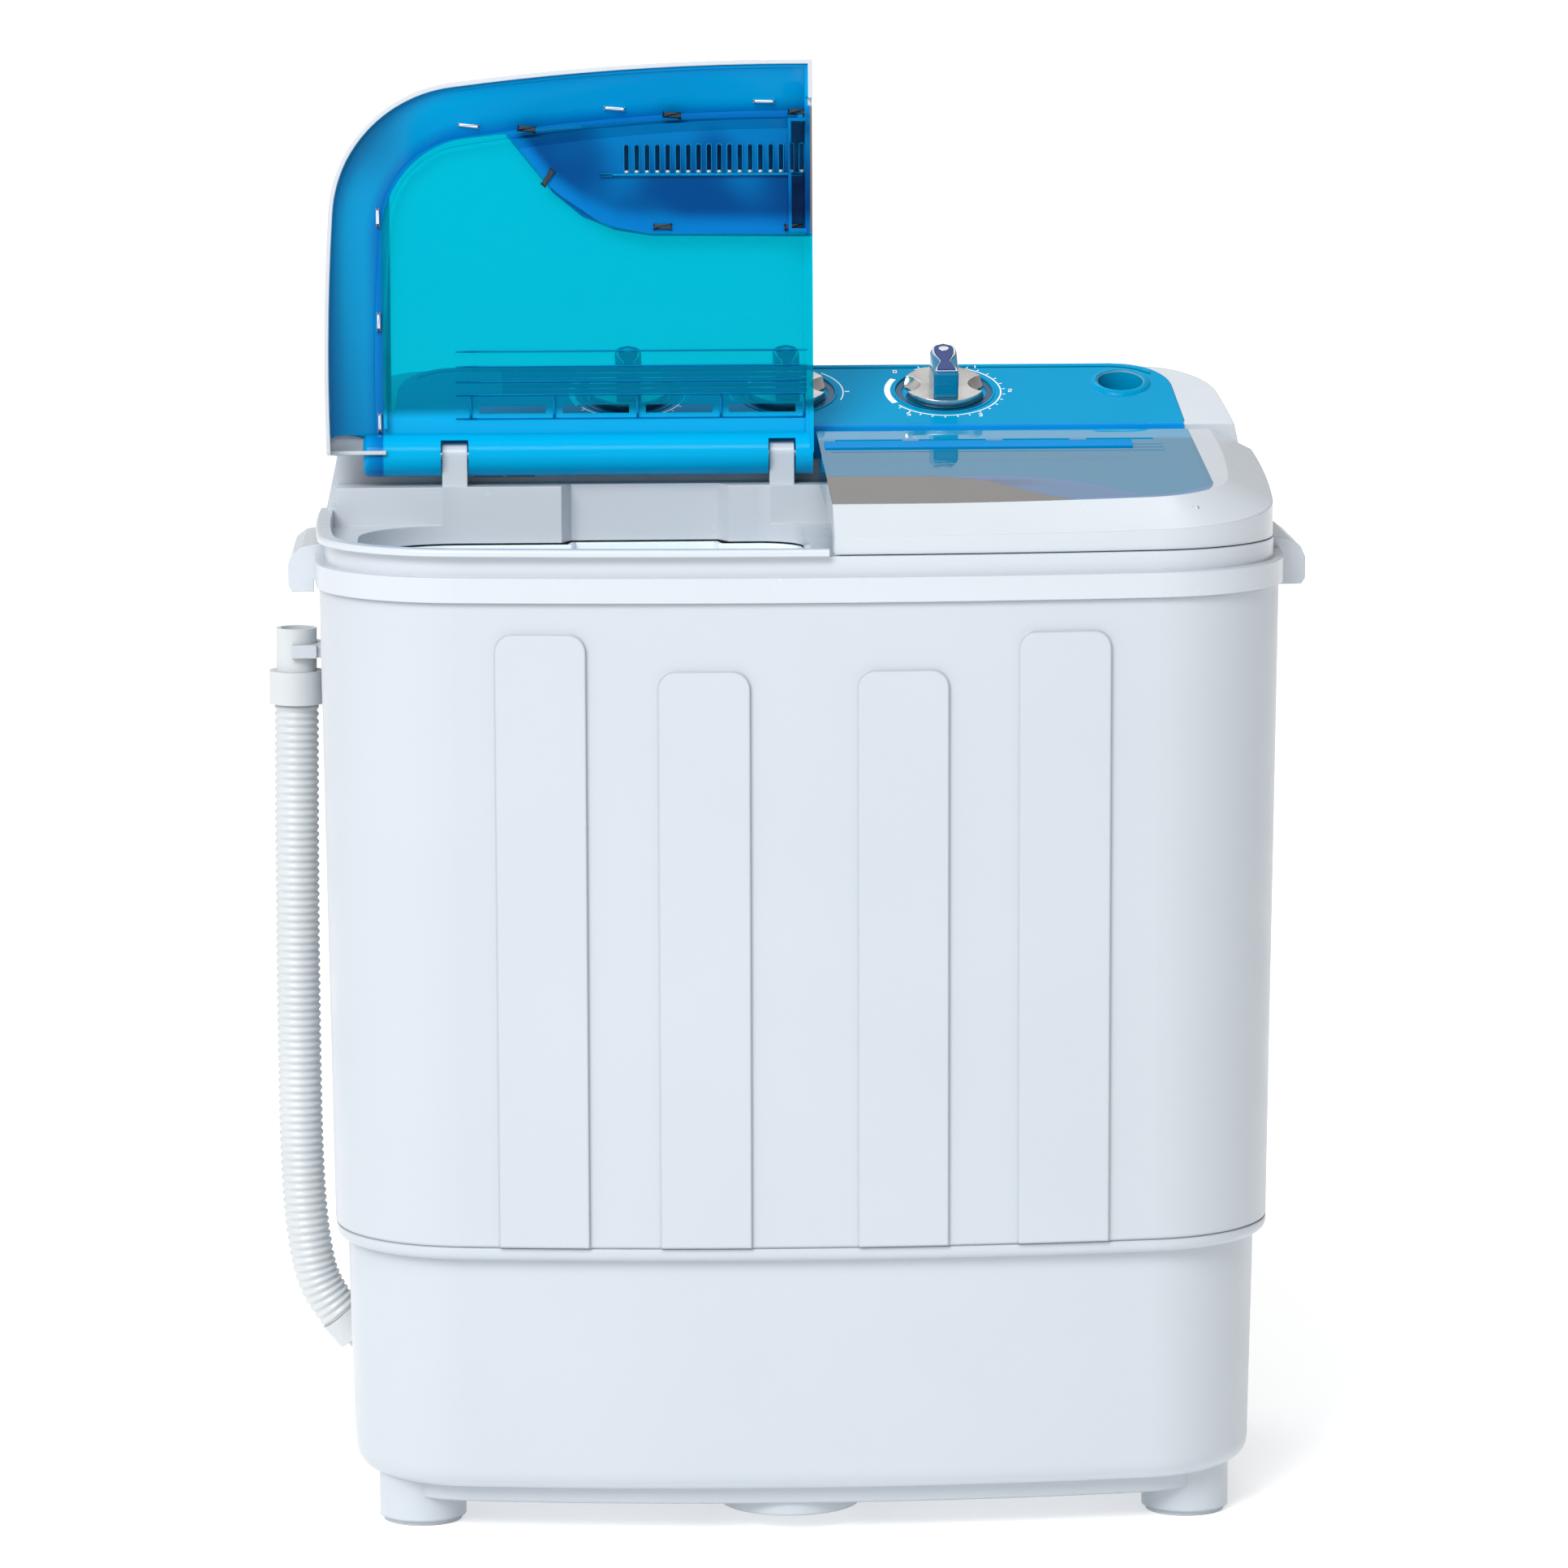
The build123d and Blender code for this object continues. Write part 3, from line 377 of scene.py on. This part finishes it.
PITCH = 0.0046
nrib = int(LEN / PITCH)
prof = [(0.00, 0.0124), (0.14, 0.0125), (0.30, 0.01315), (0.42, 0.01345), (0.58, 0.0135), (0.70, 0.01325), (0.86, 0.0125)]
bm = bmesh.new()
rings = []
SEG = 40
Y_ = Vector((0, 1, 0))
for i in range(nrib):
    for f, r in prof:
        rings.append(((i + f) * LEN / nrib, r))
rings.append((LEN, 0.0119))
prev = None
for s, r in rings:
    c, d = at(s)
    x = Y_.cross(d).normalized()
    ring = [bm.verts.new(c + (x * math.cos(a) + Y_ * math.sin(a)) * r) for a in (2 * math.pi * k / SEG for k in range(SEG))]
    if prev:
        for k in range(SEG):
            bm.faces.new((prev[k], prev[(k + 1) % SEG], ring[(k + 1) % SEG], ring[k]))
    else:
        bm.faces.new(list(reversed(ring)))
    prev = ring
bm.faces.new(prev)
bmesh.ops.recalc_face_normals(bm, faces=bm.faces)
hose = finish_mesh("corrugated_hose", bm, M["hose"], "cabinet", 80)
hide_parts("drain_hose")


# ------------------------------------------------------------------ frames for details, in mm
SL = math.radians(20.0)
PX, PY, PN = Vector((1, 0, 0)), Vector((0, math.cos(SL), math.sin(SL))), Vector((0, -math.sin(SL), math.cos(SL)))
P0 = Vector((0, 72.0, 626.0))


def onp(x, y, z=0.0):
    return (P0 + PX * x + PY * y + PN * z) * 0.001


HINGE = Vector((0, 0.056, 0.612))
OPEN = Matrix.Translation(HINGE) @ Matrix.Rotation(math.radians(-98), 4, "X") @ Matrix.Translation(-HINGE)
SEAM = {-1: 13.5, 1: 15.5}
TILT = math.radians(5.93)


def lid_top(y, d=0.0):
    """Height of the closed lid's top, d below it, in mm."""
    return 603.4 + (y + 150.0) * math.tan(TILT) - d / math.cos(TILT)


def slab(bm, pts, z0, z1, place):
    """Closed prism over the 2D polygon pts (mm), between z0 and z1, put in place by place(x, y, z)."""
    lo = [bm.verts.new(place(x, y, z0)) for x, y in pts]
    hi = [bm.verts.new(place(x, y, z1)) for x, y in pts]
    n = len(pts)
    bm.faces.new(list(reversed(lo)))
    bm.faces.new(hi)
    for i in range(n):
        bm.faces.new((lo[i], lo[(i + 1) % n], hi[(i + 1) % n], hi[i]))


def arc_pts(cx, cy, r, a0, a1, n):
    return [(cx + r * math.cos(math.radians(a0 + (a1 - a0) * k / n)), cy + r * math.sin(math.radians(a0 + (a1 - a0) * k / n)))
            for k in range(n + 1)]


def band(cx, cy, r0, r1, a0, a1, n):
    return arc_pts(cx, cy, r1, a0, a1, n) + list(reversed(arc_pts(cx, cy, r0, a0, a1, n)))


def ring_mesh(bm, cx, cy, r0, r1, z0, z1, place, n=72):
    v = []
    for r, z in ((r0, z0), (r1, z0), (r1, z1), (r0, z1)):
        v.append([bm.verts.new(place(cx + r * math.cos(2 * math.pi * k / n), cy + r * math.sin(2 * math.pi * k / n), z)) for k in range(n)])
    for j in range(4):
        a, b = v[j], v[(j + 1) % 4]
        for k in range(n):
            bm.faces.new((a[k], a[(k + 1) % n], b[(k + 1) % n], b[k]))


def tidy(bm):
    bmesh.ops.recalc_face_normals(bm, faces=bm.faces)


M["print"] = plastic("print_white", (0.80, 0.84, 0.86), 0.45, 0.04, 0.02, 900, 0.0001)
M["recess"] = plastic("recess_navy", (0.0, 0.055, 0.13), 0.25, 0.05, 0.03, 500, 0.0004)
M["silver"] = metal("silver_trim", (0.78, 0.78, 0.78), 0.25, 0.05)
# painted shade: dark colour for the machine's unlit inside, seen through the deck window
M["inside"] = plastic("painted_inside_shade", (0.0, 0.06, 0.12), 0.4, 0.05, 0.03)

DIGIT = {"0": "abcdef", "1": "bc", "2": "abged", "3": "abgcd", "4": "fgbc", "5": "afgcd", "6": "afgedc", "9": "abcdfg"}
SEGS = {"a": (0, 1, 1, 1), "b": (1, 0.5, 1, 1), "c": (1, 0, 1, 0.5), "d": (0, 0, 1, 0), "e": (0, 0, 0, 0.5), "f": (0, 0.5, 0, 1), "g": (0, 0.5, 1, 0.5)}


def number(bm, text, cx, cy, h, z0, z1, place):
    wd, t = h * 0.5, h * 0.085
    x = cx - (len(text) * wd * 1.5 - wd * 0.5) / 2
    for ch in text:
        for sname in DIGIT[ch]:
            x0, y0, x1, y1 = SEGS[sname]
            ax, ay, bx_, by = x + x0 * wd, cy - h / 2 + y0 * h, x + x1 * wd, cy - h / 2 + y1 * h
            if ax == bx_:
                pts = [(ax - t, ay), (ax + t, ay), (ax + t, by), (ax - t, by)]
            else:
                pts = [(ax, ay - t), (bx_, ay - t), (bx_, ay + t), (ax, ay + t)]
            slab(bm, pts, z0, z1, place)
        x += wd * 1.5


# dials printed on the control panel: ticks, arcs and numbers round each knob
bm = bmesh.new()
for kx, kind in ((-96, "t"), (0, "s"), (96, "t")):
    if kind == "t":
        slab(bm, band(kx, 49, 34.2, 35.0, -145, 118, 60), 0.05, 0.16, onp)
        slab(bm, band(kx, 49, 32.8, 36.4, 150, 208, 24), 0.05, 0.16, onp)
        for a in range(-140, 116, 12):
            slab(bm, band(kx, 49, 35.6, 37.4, a - 0.6, a + 0.6, 2), 0.05, 0.16, onp)
        for a, tx in ((135, "0"), (60, "1"), (0, "2"), (-60, "3"), (-125, "5")):
            number(bm, tx, kx + 40.3 * math.cos(math.radians(a)), 49 + 40.3 * math.sin(math.radians(a)) * 0.98, 3.6, 0.05, 0.16, onp)
    else:
        slab(bm, band(kx, 49, 34.2, 35.0, -20, 50, 24), 0.05, 0.16, onp)
        slab(bm, band(kx, 49, 34.2, 35.0, 130, 200, 24), 0.05, 0.16, onp)
        for a in (0, 90, 180):
            slab(bm, band(kx, 49, 35.6, 38.4, a - 1, a + 1, 2), 0.05, 0.16, onp)
tidy(bm)
finish_mesh("dial_prints", bm, M["print"], "cabinet", 30)

# dark ring sunk round each knob, with a bright lip
bm = bmesh.new()
for kx in (-96, 0, 96):
    ring_mesh(bm, kx, 49, 25.6, 29.4, -1.15, -0.55, onp)
tidy(bm)
finish_mesh("knob_recess_rings", bm, M["recess"], "cabinet", 30)
bm = bmesh.new()
for kx in (-96, 0, 96):
    ring_mesh(bm, kx, 49, 29.7, 31.0, 0.02, 0.55, onp)
tidy(bm)
lip = finish_mesh("knob_lips", bm, M["panel_blue"], "cabinet", 30)

# inlet collar: rounded raised ring over the hole's edge and a deeper dark mouth
bm = bmesh.new()
prof_in = [(13.95, -20), (13.95, 0.6), (14.3, 1.6), (15.2, 2.2), (16.4, 2.0), (17.6, 1.2), (18.6, 0.05)]
N_ = 72
prev = None
for r, z in prof_in:
    ringv = [bm.verts.new(onp(204.4 + r * math.cos(2 * math.pi * k / N_), 59 + r * math.sin(2 * math.pi * k / N_), z)) for k in range(N_)]
    if prev:
        for k in range(N_):
            bm.faces.new((prev[k], prev[(k + 1) % N_], ringv[(k + 1) % N_], ringv[k]))
    prev = ringv
tidy(bm)
finish_mesh("inlet_collar", bm, M["panel_blue"], "cabinet", 40)


# knobs: a rounded grip bar with a waisted inlay, its silver outline and a silver dot
def outline_grip(w0, w1, y0, y1, r, n=8):
    """Rounded bar in plan, y0 front, y1 back."""
    pts = []
    for cx, cy, a0 in ((w0 - 1.5, y0 + 1.5, -90), (w1 - r, y1 - r, 0), (-(w1 - r), y1 - r, 90), (-(w0 - 1.5), y0 + 1.5, 180)):
        rr = 1.5 if abs(a0) in (90,) and a0 < 0 or a0 == 180 else r
        for k in range(n + 1):
            a = math.radians(a0 + 90 * k / n)
            pts.append((cx + rr * math.cos(a), cy + rr * math.sin(a)))
    return pts


def waist(scale_x, y0, y1, n=14):
    """Hourglass outline: wide at the front, a narrow waist, a rounded wide back."""
    right = []
    for k in range(n + 1):
        t = k / n
        y = y0 + (y1 - y0) * t
        w = 6.2 - 3.4 * math.exp(-((t - 0.36) / 0.20) ** 2) + 0.4 * t
        if t > 0.80:
            w *= math.sqrt(max(0.0, 1 - ((t - 0.80) / 0.2001) ** 2))
        right.append((w * scale_x, y))
    return right + [(-x, y) for x, y in reversed(right) if x > 0.01]


for kx, name, bodyname in ((-96, "wash_timer", "wash_timer_knob"), (0, "drain_selector", "drain_selector_knob"), (96, "spin_timer", "spin_timer_knob")):
    place = lambda x, y, z, kx=kx: onp(kx + x, 49 + y, z)
    bm = bmesh.new()
    levels = [(0.0, 5.3), (0.0, 19.6), (0.5, 21.2), (1.4, 22.1)]
    base = outline_grip(7.5, 8.2, -20, 20, 7.6)
    prev = None
    n = len(base)
    for inset, z in levels:
        ringv = []
        for x, y in base:
            l = math.hypot(x, y)
            sx = (abs(x) - inset) / max(abs(x), 1e-6) if abs(x) > 2 else 1
            sy = (abs(y) - inset) / max(abs(y), 1e-6) if abs(y) > 9 else 1
            ringv.append(bm.verts.new(place(x * sx, y * sy, z)))
        if prev:
            for k in range(n):
                bm.faces.new((prev[k], prev[(k + 1) % n], ringv[(k + 1) % n], ringv[k]))
        else:
            bm.faces.new(list(reversed(ringv)))
        prev = ringv
    bm.faces.new(prev)
    tidy(bm)
    g = finish_mesh(name + "_grip_bar", bm, M["grip"], bodyname, 35)
    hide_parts(name + "_grip")
    bm = bmesh.new()
    slab(bm, waist(1.12, -19.4, 19.2), 22.0, 22.75, place)
    tidy(bm)
    o = finish_mesh(name + "_inlay_trim", bm, M["silver"], bodyname, 30)
    bm = bmesh.new()
    slab(bm, waist(0.92, -18.4, 18.2), 22.1, 23.25, place)
    tidy(bm)
    c = finish_mesh(name + "_inlay", bm, M["navy"], bodyname, 30)
    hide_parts(name + "_cap")
    bm = bmesh.new()
    slab(bm, arc_pts(0, 11.5, 3.1, 0, 345, 23), 23.0, 23.4, place)
    tidy(bm)
    finish_mesh(name + "_dot", bm, M["silver"], bodyname, 30)


# ------------------------------------------------------------------ lids: clips, ribs and the lines near the hinge
M["clip"] = plastic("clip_white", (0.74, 0.79, 0.82), 0.4, 0.05, 0.04)
M["rib_blue"] = clear_plastic("rib_blue", (0.0, 0.66, 0.90), (0.0, 0.30, 0.62), 0.62, 0.12, 0.0002, spec=0.2)
M["strip_blue"] = clear_plastic("strip_blue", (0.0, 0.5, 0.8), (0.0, 0.23, 0.58), 0.94, 0.2, 0.0002, spec=0.06)
M["pad"] = plastic("pad_pale", (0.42, 0.45, 0.48), 0.6, 0.08, 0.2, 900)
NODES["foot_pads"].data.materials.clear()
NODES["foot_pads"].data.materials.append(M["pad"])


def lid_place(side):
    mat = OPEN if side < 0 else Matrix.Identity(4)
    return lambda x, y, z: mat @ (Vector((x, y, z)) * 0.001)


def lid_block(bm, side, x0, x1, y0, y1, d0, d1):
    """Small block under the lid's sloping top: from d0 to d1 mm below it."""
    pl = lid_place(side)
    v = [bm.verts.new(pl(x, y, lid_top(y, d))) for d in (d1, d0) for x, y in ((x0, y0), (x1, y0), (x1, y1), (x0, y1))]
    for f in ((3, 2, 1, 0), (4, 5, 6, 7), (0, 1, 5, 4), (1, 2, 6, 5), (2, 3, 7, 6), (3, 0, 4, 7)):
        bm.faces.new([v[i] for i in f])


def lid_bar(bm, side, cx, cy, ln, wd, ang, d0, d1, bev=0.22):
    """Chamfered bar lying under the lid's top: ln x wd, turned by ang degrees."""
    pl = lid_place(side)
    c, s_ = math.cos(math.radians(ang)), math.sin(math.radians(ang))
    rows = []
    for d, k in ((d0, 0.0), (d1 - bev * 2, 0.0), (d1, bev * 2)):
        row = []
        for hx, hy in ((-1, -1), (1, -1), (1, 1), (-1, 1)):
            for ux, uy in (((0.88, 1.0), (1.0, 0.72)) if hx * hy > 0 else ((1.0, 0.72), (0.88, 1.0))):
                px, py = hx * (ln / 2 - k) * ux, hy * (wd / 2 - k) * uy
                x, y = cx + px * c - py * s_, cy + px * s_ + py * c
                row.append(bm.verts.new(pl(x, y, lid_top(y, d))))
        rows.append(row)
    n = len(rows[0])
    for r0, r1 in zip(rows, rows[1:]):
        for k in range(n):
            bm.faces.new((r0[k], r0[(k + 1) % n], r1[(k + 1) % n], r1[k]))
    bm.faces.new(list(reversed(rows[0])))
    bm.faces.new(rows[-1])


M["clip_metal"] = metal("clip_metal", (0.07, 0.09, 0.11), 0.2, 0.05)
for side, lname, body in ((-1, "wash_lid", "wash_lid"), (1, "spin_lid", "spin_lid")):
    s0 = SEAM[side]
    g = lambda x: s0 + side * x
    bm = bmesh.new()
    for x, y, a in ((204.8, -139.9, 6), (117.6, -149.5, 4), (28.4, -153.3, 1)):
        lid_bar(bm, side, g(x), y, 13.0, 2.3, -side * a, 5.0, 9.0)
    for y in (-86, -24, 36):
        lid_bar(bm, side, side * 246.0, y, 2.2, 12.0, 0, 4.6, 7.4)
    tidy(bm)
    finish_mesh(lname + "_dashes", bm, M["clip"], body, 30)
    bm = bmesh.new()
    for x, y, a in ((170.0, -137.2, 5), (83.3, -144.9, 3), (8.6, -146.4, 1), (157.6, -108.4, -58), (89.5, -78.9, 0), (11.3, -78.2, 0)):
        lid_bar(bm, side, g(x), y, 11.8, 4.4, side * -a, 11.0, 16.2)
    tidy(bm)
    finish_mesh(lname + "_metal_clips", bm, M["clip_metal"], body, 30)
    # small ledge below the vents, and a round bead at the foot of each vent
    bm = bmesh.new()
    lid_bar(bm, side, g(66.0), -109.6, 122.0, 2.4, 0, 14.6, 16.8)
    tidy(bm)
    finish_mesh(lname + "_vent_ledge", bm, M["rib_blue"], body, 30)
    bm = bmesh.new()
    for k in range(18):
        lid_bar(bm, side, g(6.2 + 6.15 * k), -111.4, 2.4, 2.4, 0, 14.8, 16.6, 0.5)
    tidy(bm)
    finish_mesh(lname + "_vent_beads", bm, M["clip"], body, 60)
    # raised rims round the vents
    bm = bmesh.new()
    pl = lid_place(side)
    for k in range(18):
        cx = g(6.2 + 6.15 * k)
        loop = [(cx + q[0] * 1.75, -119.0 + q[1]) for q in ([(math.cos(t), 7.6 + 1.75 * math.sin(t)) for t in [math.pi * j / 6 for j in range(7)]]
                + [(math.cos(t), -7.6 + 1.75 * math.sin(t)) for t in [math.pi + math.pi * j / 6 for j in range(7)]])]
        inn = [(cx + (x - cx) * 0.76, -119.0 + (y + 119.0) * 0.95) for x, y in loop]
        lo_o = [bm.verts.new(pl(x, y, lid_top(y, 14.7))) for x, y in loop]
        hi_o = [bm.verts.new(pl(x, y, lid_top(y, 15.7))) for x, y in loop]
        hi_i = [bm.verts.new(pl(x, y, lid_top(y, 15.7))) for x, y in inn]
        lo_i = [bm.verts.new(pl(x, y, lid_top(y, 14.7))) for x, y in inn]
        n = len(loop)
        for p_, q_ in ((lo_o, hi_o), (hi_o, hi_i), (hi_i, lo_i), (lo_i, lo_o)):
            for j in range(n):
                bm.faces.new((p_[j], p_[(j + 1) % n], q_[(j + 1) % n], q_[j]))
    tidy(bm)
    finish_mesh(lname + "_vent_rims", bm, M["rib_blue"], body, 50)
    # steps across the lid near the hinge
    bm = bmesh.new()
    for k, (y, d) in enumerate(((-6, 4.4), (3, 4.4), (12, 4.4), (20, 4.4), (34, 4.4))):
        g0, g1 = sorted((g(2.6), g(214)))
        lid_bar(bm, side, (g0 + g1) / 2, y, g1 - g0, 1.3, 0, 4.2, 5.2, 0.2)
    for k in range(5):
        lid_bar(bm, side, g(5 + 50 * k), 27, 1.6, 14.0, 0, 4.2, 6.0, 0.2)
    tidy(bm)
    finish_mesh(lname + "_hinge_steps", bm, M["rib_blue"], body, 30)

for side, lname in ((-1, "wash_lid"), (1, "spin_lid")):
    s0 = SEAM[side]
    pl = lid_place(side)
    bm = bmesh.new()
    g0, g1 = sorted((s0 + side * 3.0, s0 + side * 186.0))
    for k in range(5):
        ya, yb_ = 4.0 + 3.1 * k, 4.0 + 3.1 * (k + 1)
        prof_ = [(ya, 0.05), (ya, 0.9), (yb_ - 0.6, 1.5), (yb_ - 0.6, 0.05)]
        lo_ = [bm.verts.new(pl(g0, y, lid_top(y, -h))) for y, h in prof_]
        hi_ = [bm.verts.new(pl(g1, y, lid_top(y, -h))) for y, h in prof_]
        bm.faces.new(list(reversed(lo_)))
        bm.faces.new(hi_)
        for j in range(4):
            bm.faces.new((lo_[j], lo_[(j + 1) % 4], hi_[(j + 1) % 4], hi_[j]))
    tidy(bm)
    finish_mesh(lname + "_top_steps", bm, M["strip_blue"], lname, 30)

# blue lip that turns down over the front edge of the control panel
bm = bmesh.new()
lip_prof = [(72.2 + 2.3, 626.0 + 0.84 + 0.5), (71.9, 627.0), (71.0, 626.5), (70.6, 625.6), (70.6, 607.0), (71.9, 607.0), (71.9, 625.2), (74.3, 626.75)]
cols = []
NX = 24
for k in range(NX + 1):
    x = -238.0 + 476.0 * k / NX
    cols.append([bm.verts.new(Vector((x, y, z)) * 0.001) for y, z in lip_prof])
m_ = len(lip_prof)
for a, b in zip(cols, cols[1:]):
    for j in range(m_):
        bm.faces.new((a[j], a[(j + 1) % m_], b[(j + 1) % m_], b[j]))
bm.faces.new(list(reversed(cols[0])))
bm.faces.new(cols[-1])
tidy(bm)
finish_mesh("panel_front_lip", bm, M["strip_blue"], "cabinet", 50)

# rear edge of the control panel: the blue turns over the ridge, and a white apron closes the back below it
def rear_wall(x, z):
    t = (z - 577.0) / 85.0
    y = (1 - t) * (180.5 - 9 * (x / 271.5) ** 2) + t * (153.4 - 9 * (x / 254.0) ** 2)
    c = max(0.0, abs(x) - 213.0)
    return y - (41 - math.sqrt(max(0.0, 41 ** 2 - c ** 2)))


XS = [-224 + 448 * k / 56 for k in range(57)]
for nm, mat_, slot_ in (("rear_apron", "frame", "white_frame"), ("panel_rear_edge", "panel_blue", "panel_blue")):
    bm = bmesh.new()
    cols = []
    for x in XS:
        fall = max(0.0, (abs(x) - 199.0) / 34.0)
        pe = 153.75 - 34 * math.cos(math.radians(20)) * (1 - math.sqrt(max(0.0, 1 - min(fall, 0.999) ** 2)))
        yo = [max(rear_wall(x, z) + 0.45, pe + 0.75) for z in (641.0, 647.0, 652.6)]
        if nm == "rear_apron":
            yb0 = rear_wall(x, 641.0)
            pts = [(yb0 - 0.3, 640.6), (yb0 + 0.45, 641.0), (yo[1], 647.0), (yo[2], 652.6), (yo[2] - 0.9, 652.6), (yo[1] - 0.9, 647.0)]
        else:
            zt = 626.0 + (pe - 5.0 - 72.0) * math.tan(SL)
            zr = 626.0 + (pe - 72.0) * math.tan(SL)
            pts = [(pe - 5.0, zt + 0.12), (pe - 2.0, zt + 1.25), (pe - 0.2, zr + 0.15), (yo[2] - 0.25, zr - 0.9), (yo[2] + 0.05, zr - 2.2), (yo[2], 652.0 - max(0.0, 655.0 - zr)),
                   (yo[2] - 0.85, 652.0 - max(0.0, 655.0 - zr)), (pe + 0.02, zr - 0.6), (pe - 0.4, zr - 0.1)]
        cols.append([bm.verts.new(Vector((x, y, z)) * 0.001) for y, z in pts])
    m_ = len(cols[0])
    for a, b in zip(cols, cols[1:]):
        for j in range(m_):
            bm.faces.new((a[j], a[(j + 1) % m_], b[(j + 1) % m_], b[j]))
    bm.faces.new(list(reversed(cols[0])))
    bm.faces.new(cols[-1])
    tidy(bm)
    finish_mesh(nm, bm, M[mat_], "cabinet", 45)

# small window with a cross rib in the deck's front wall, seen through the open lid: its dark panes are painted shade
# for the dark inside behind it
bm = bmesh.new()
for ix in range(2):
    for iz in range(2):
        x0, z0 = -189.5 + ix * 19, 597.5 + iz * 12.5
        slab(bm, [(x0, z0), (x0 + 17, z0), (x0 + 17, z0 + 11), (x0, z0 + 11)], 69.9, 71.9, lambda x, y, z: Vector((x, z, y)) * 0.001)
tidy(bm)
finish_mesh("deck_window_painted_shade", bm, M["inside"], "cabinet", 30)

# ------------------------------------------------------------------ stage
bm = bmesh.new()
bmesh.ops.create_grid(bm, x_segments=1, y_segments=1, size=80)
me = bpy.data.meshes.new("floor")
bm.to_mesh(me)
bm.free()
floor = bpy.data.objects.new("floor", me)
scene.collection.objects.link(floor)
fm, nt, out = new_mat("floor_pale")
p = principled(nt, (0.82, 0.82, 0.82), 0.9)
p.inputs["Specular IOR Level"].default_value = 0.1
p.inputs["Emission Color"].default_value = (1.0, 1.0, 1.0, 1)
p.inputs["Emission Strength"].default_value = 0.46
vary(nt, p, (0.82, 0.82, 0.82), 0.002, 0.4)
nt.links.new(p.outputs["BSDF"], out.inputs["Surface"])
me.materials.append(fm)

# soft studio surround, brighter on the left
w = bpy.data.worlds.new("world")
scene.world = w
w.use_nodes = True
wn = w.node_tree
tcw = wn.nodes.new("ShaderNodeTexCoord")
sx = wn.nodes.new("ShaderNodeSeparateXYZ")
wn.links.new(tcw.outputs["Generated"], sx.inputs[0])
mrw = wn.nodes.new("ShaderNodeMapRange")
mrw.inputs["From Min"].default_value = -0.9
mrw.inputs["From Max"].default_value = 0.9
mrw.inputs["To Min"].default_value = 0.74
mrw.inputs["To Max"].default_value = 0.28
wn.links.new(sx.outputs[0], mrw.inputs["Value"])
bg = wn.nodes["Background"]
bg.inputs["Color"].default_value = (1.0, 1.0, 1.0, 1)
wn.links.new(mrw.outputs["Result"], bg.inputs["Strength"])

sun = bpy.data.lights.new("key", "SUN")
sun.energy = 2.1
sun.angle = math.radians(28)
so = bpy.data.objects.new("key", sun)
scene.collection.objects.link(so)
so.rotation_euler = Vector((0.42, 0.66, -0.62)).to_track_quat("-Z", "Y").to_euler()


def area(name, loc, target, size, power, color=(1, 1, 1)):
    l = bpy.data.lights.new(name, "AREA")
    l.shape = "RECTANGLE"
    l.size, l.size_y = size
    l.energy = power
    l.color = color
    o = bpy.data.objects.new(name, l)
    scene.collection.objects.link(o)
    o.location = loc
    o.rotation_euler = (Vector(target) - Vector(loc)).to_track_quat("-Z", "Y").to_euler()
    o.visible_camera = False
    return o


area("top_back", (0.05, 1.0, 2.3), (0.0, 0.1, 0.64), (1.4, 0.6), 9)
area("top_front", (-0.3, -1.7, 2.3), (-0.1, 0.05, 0.5), (1.2, 0.8), 19)
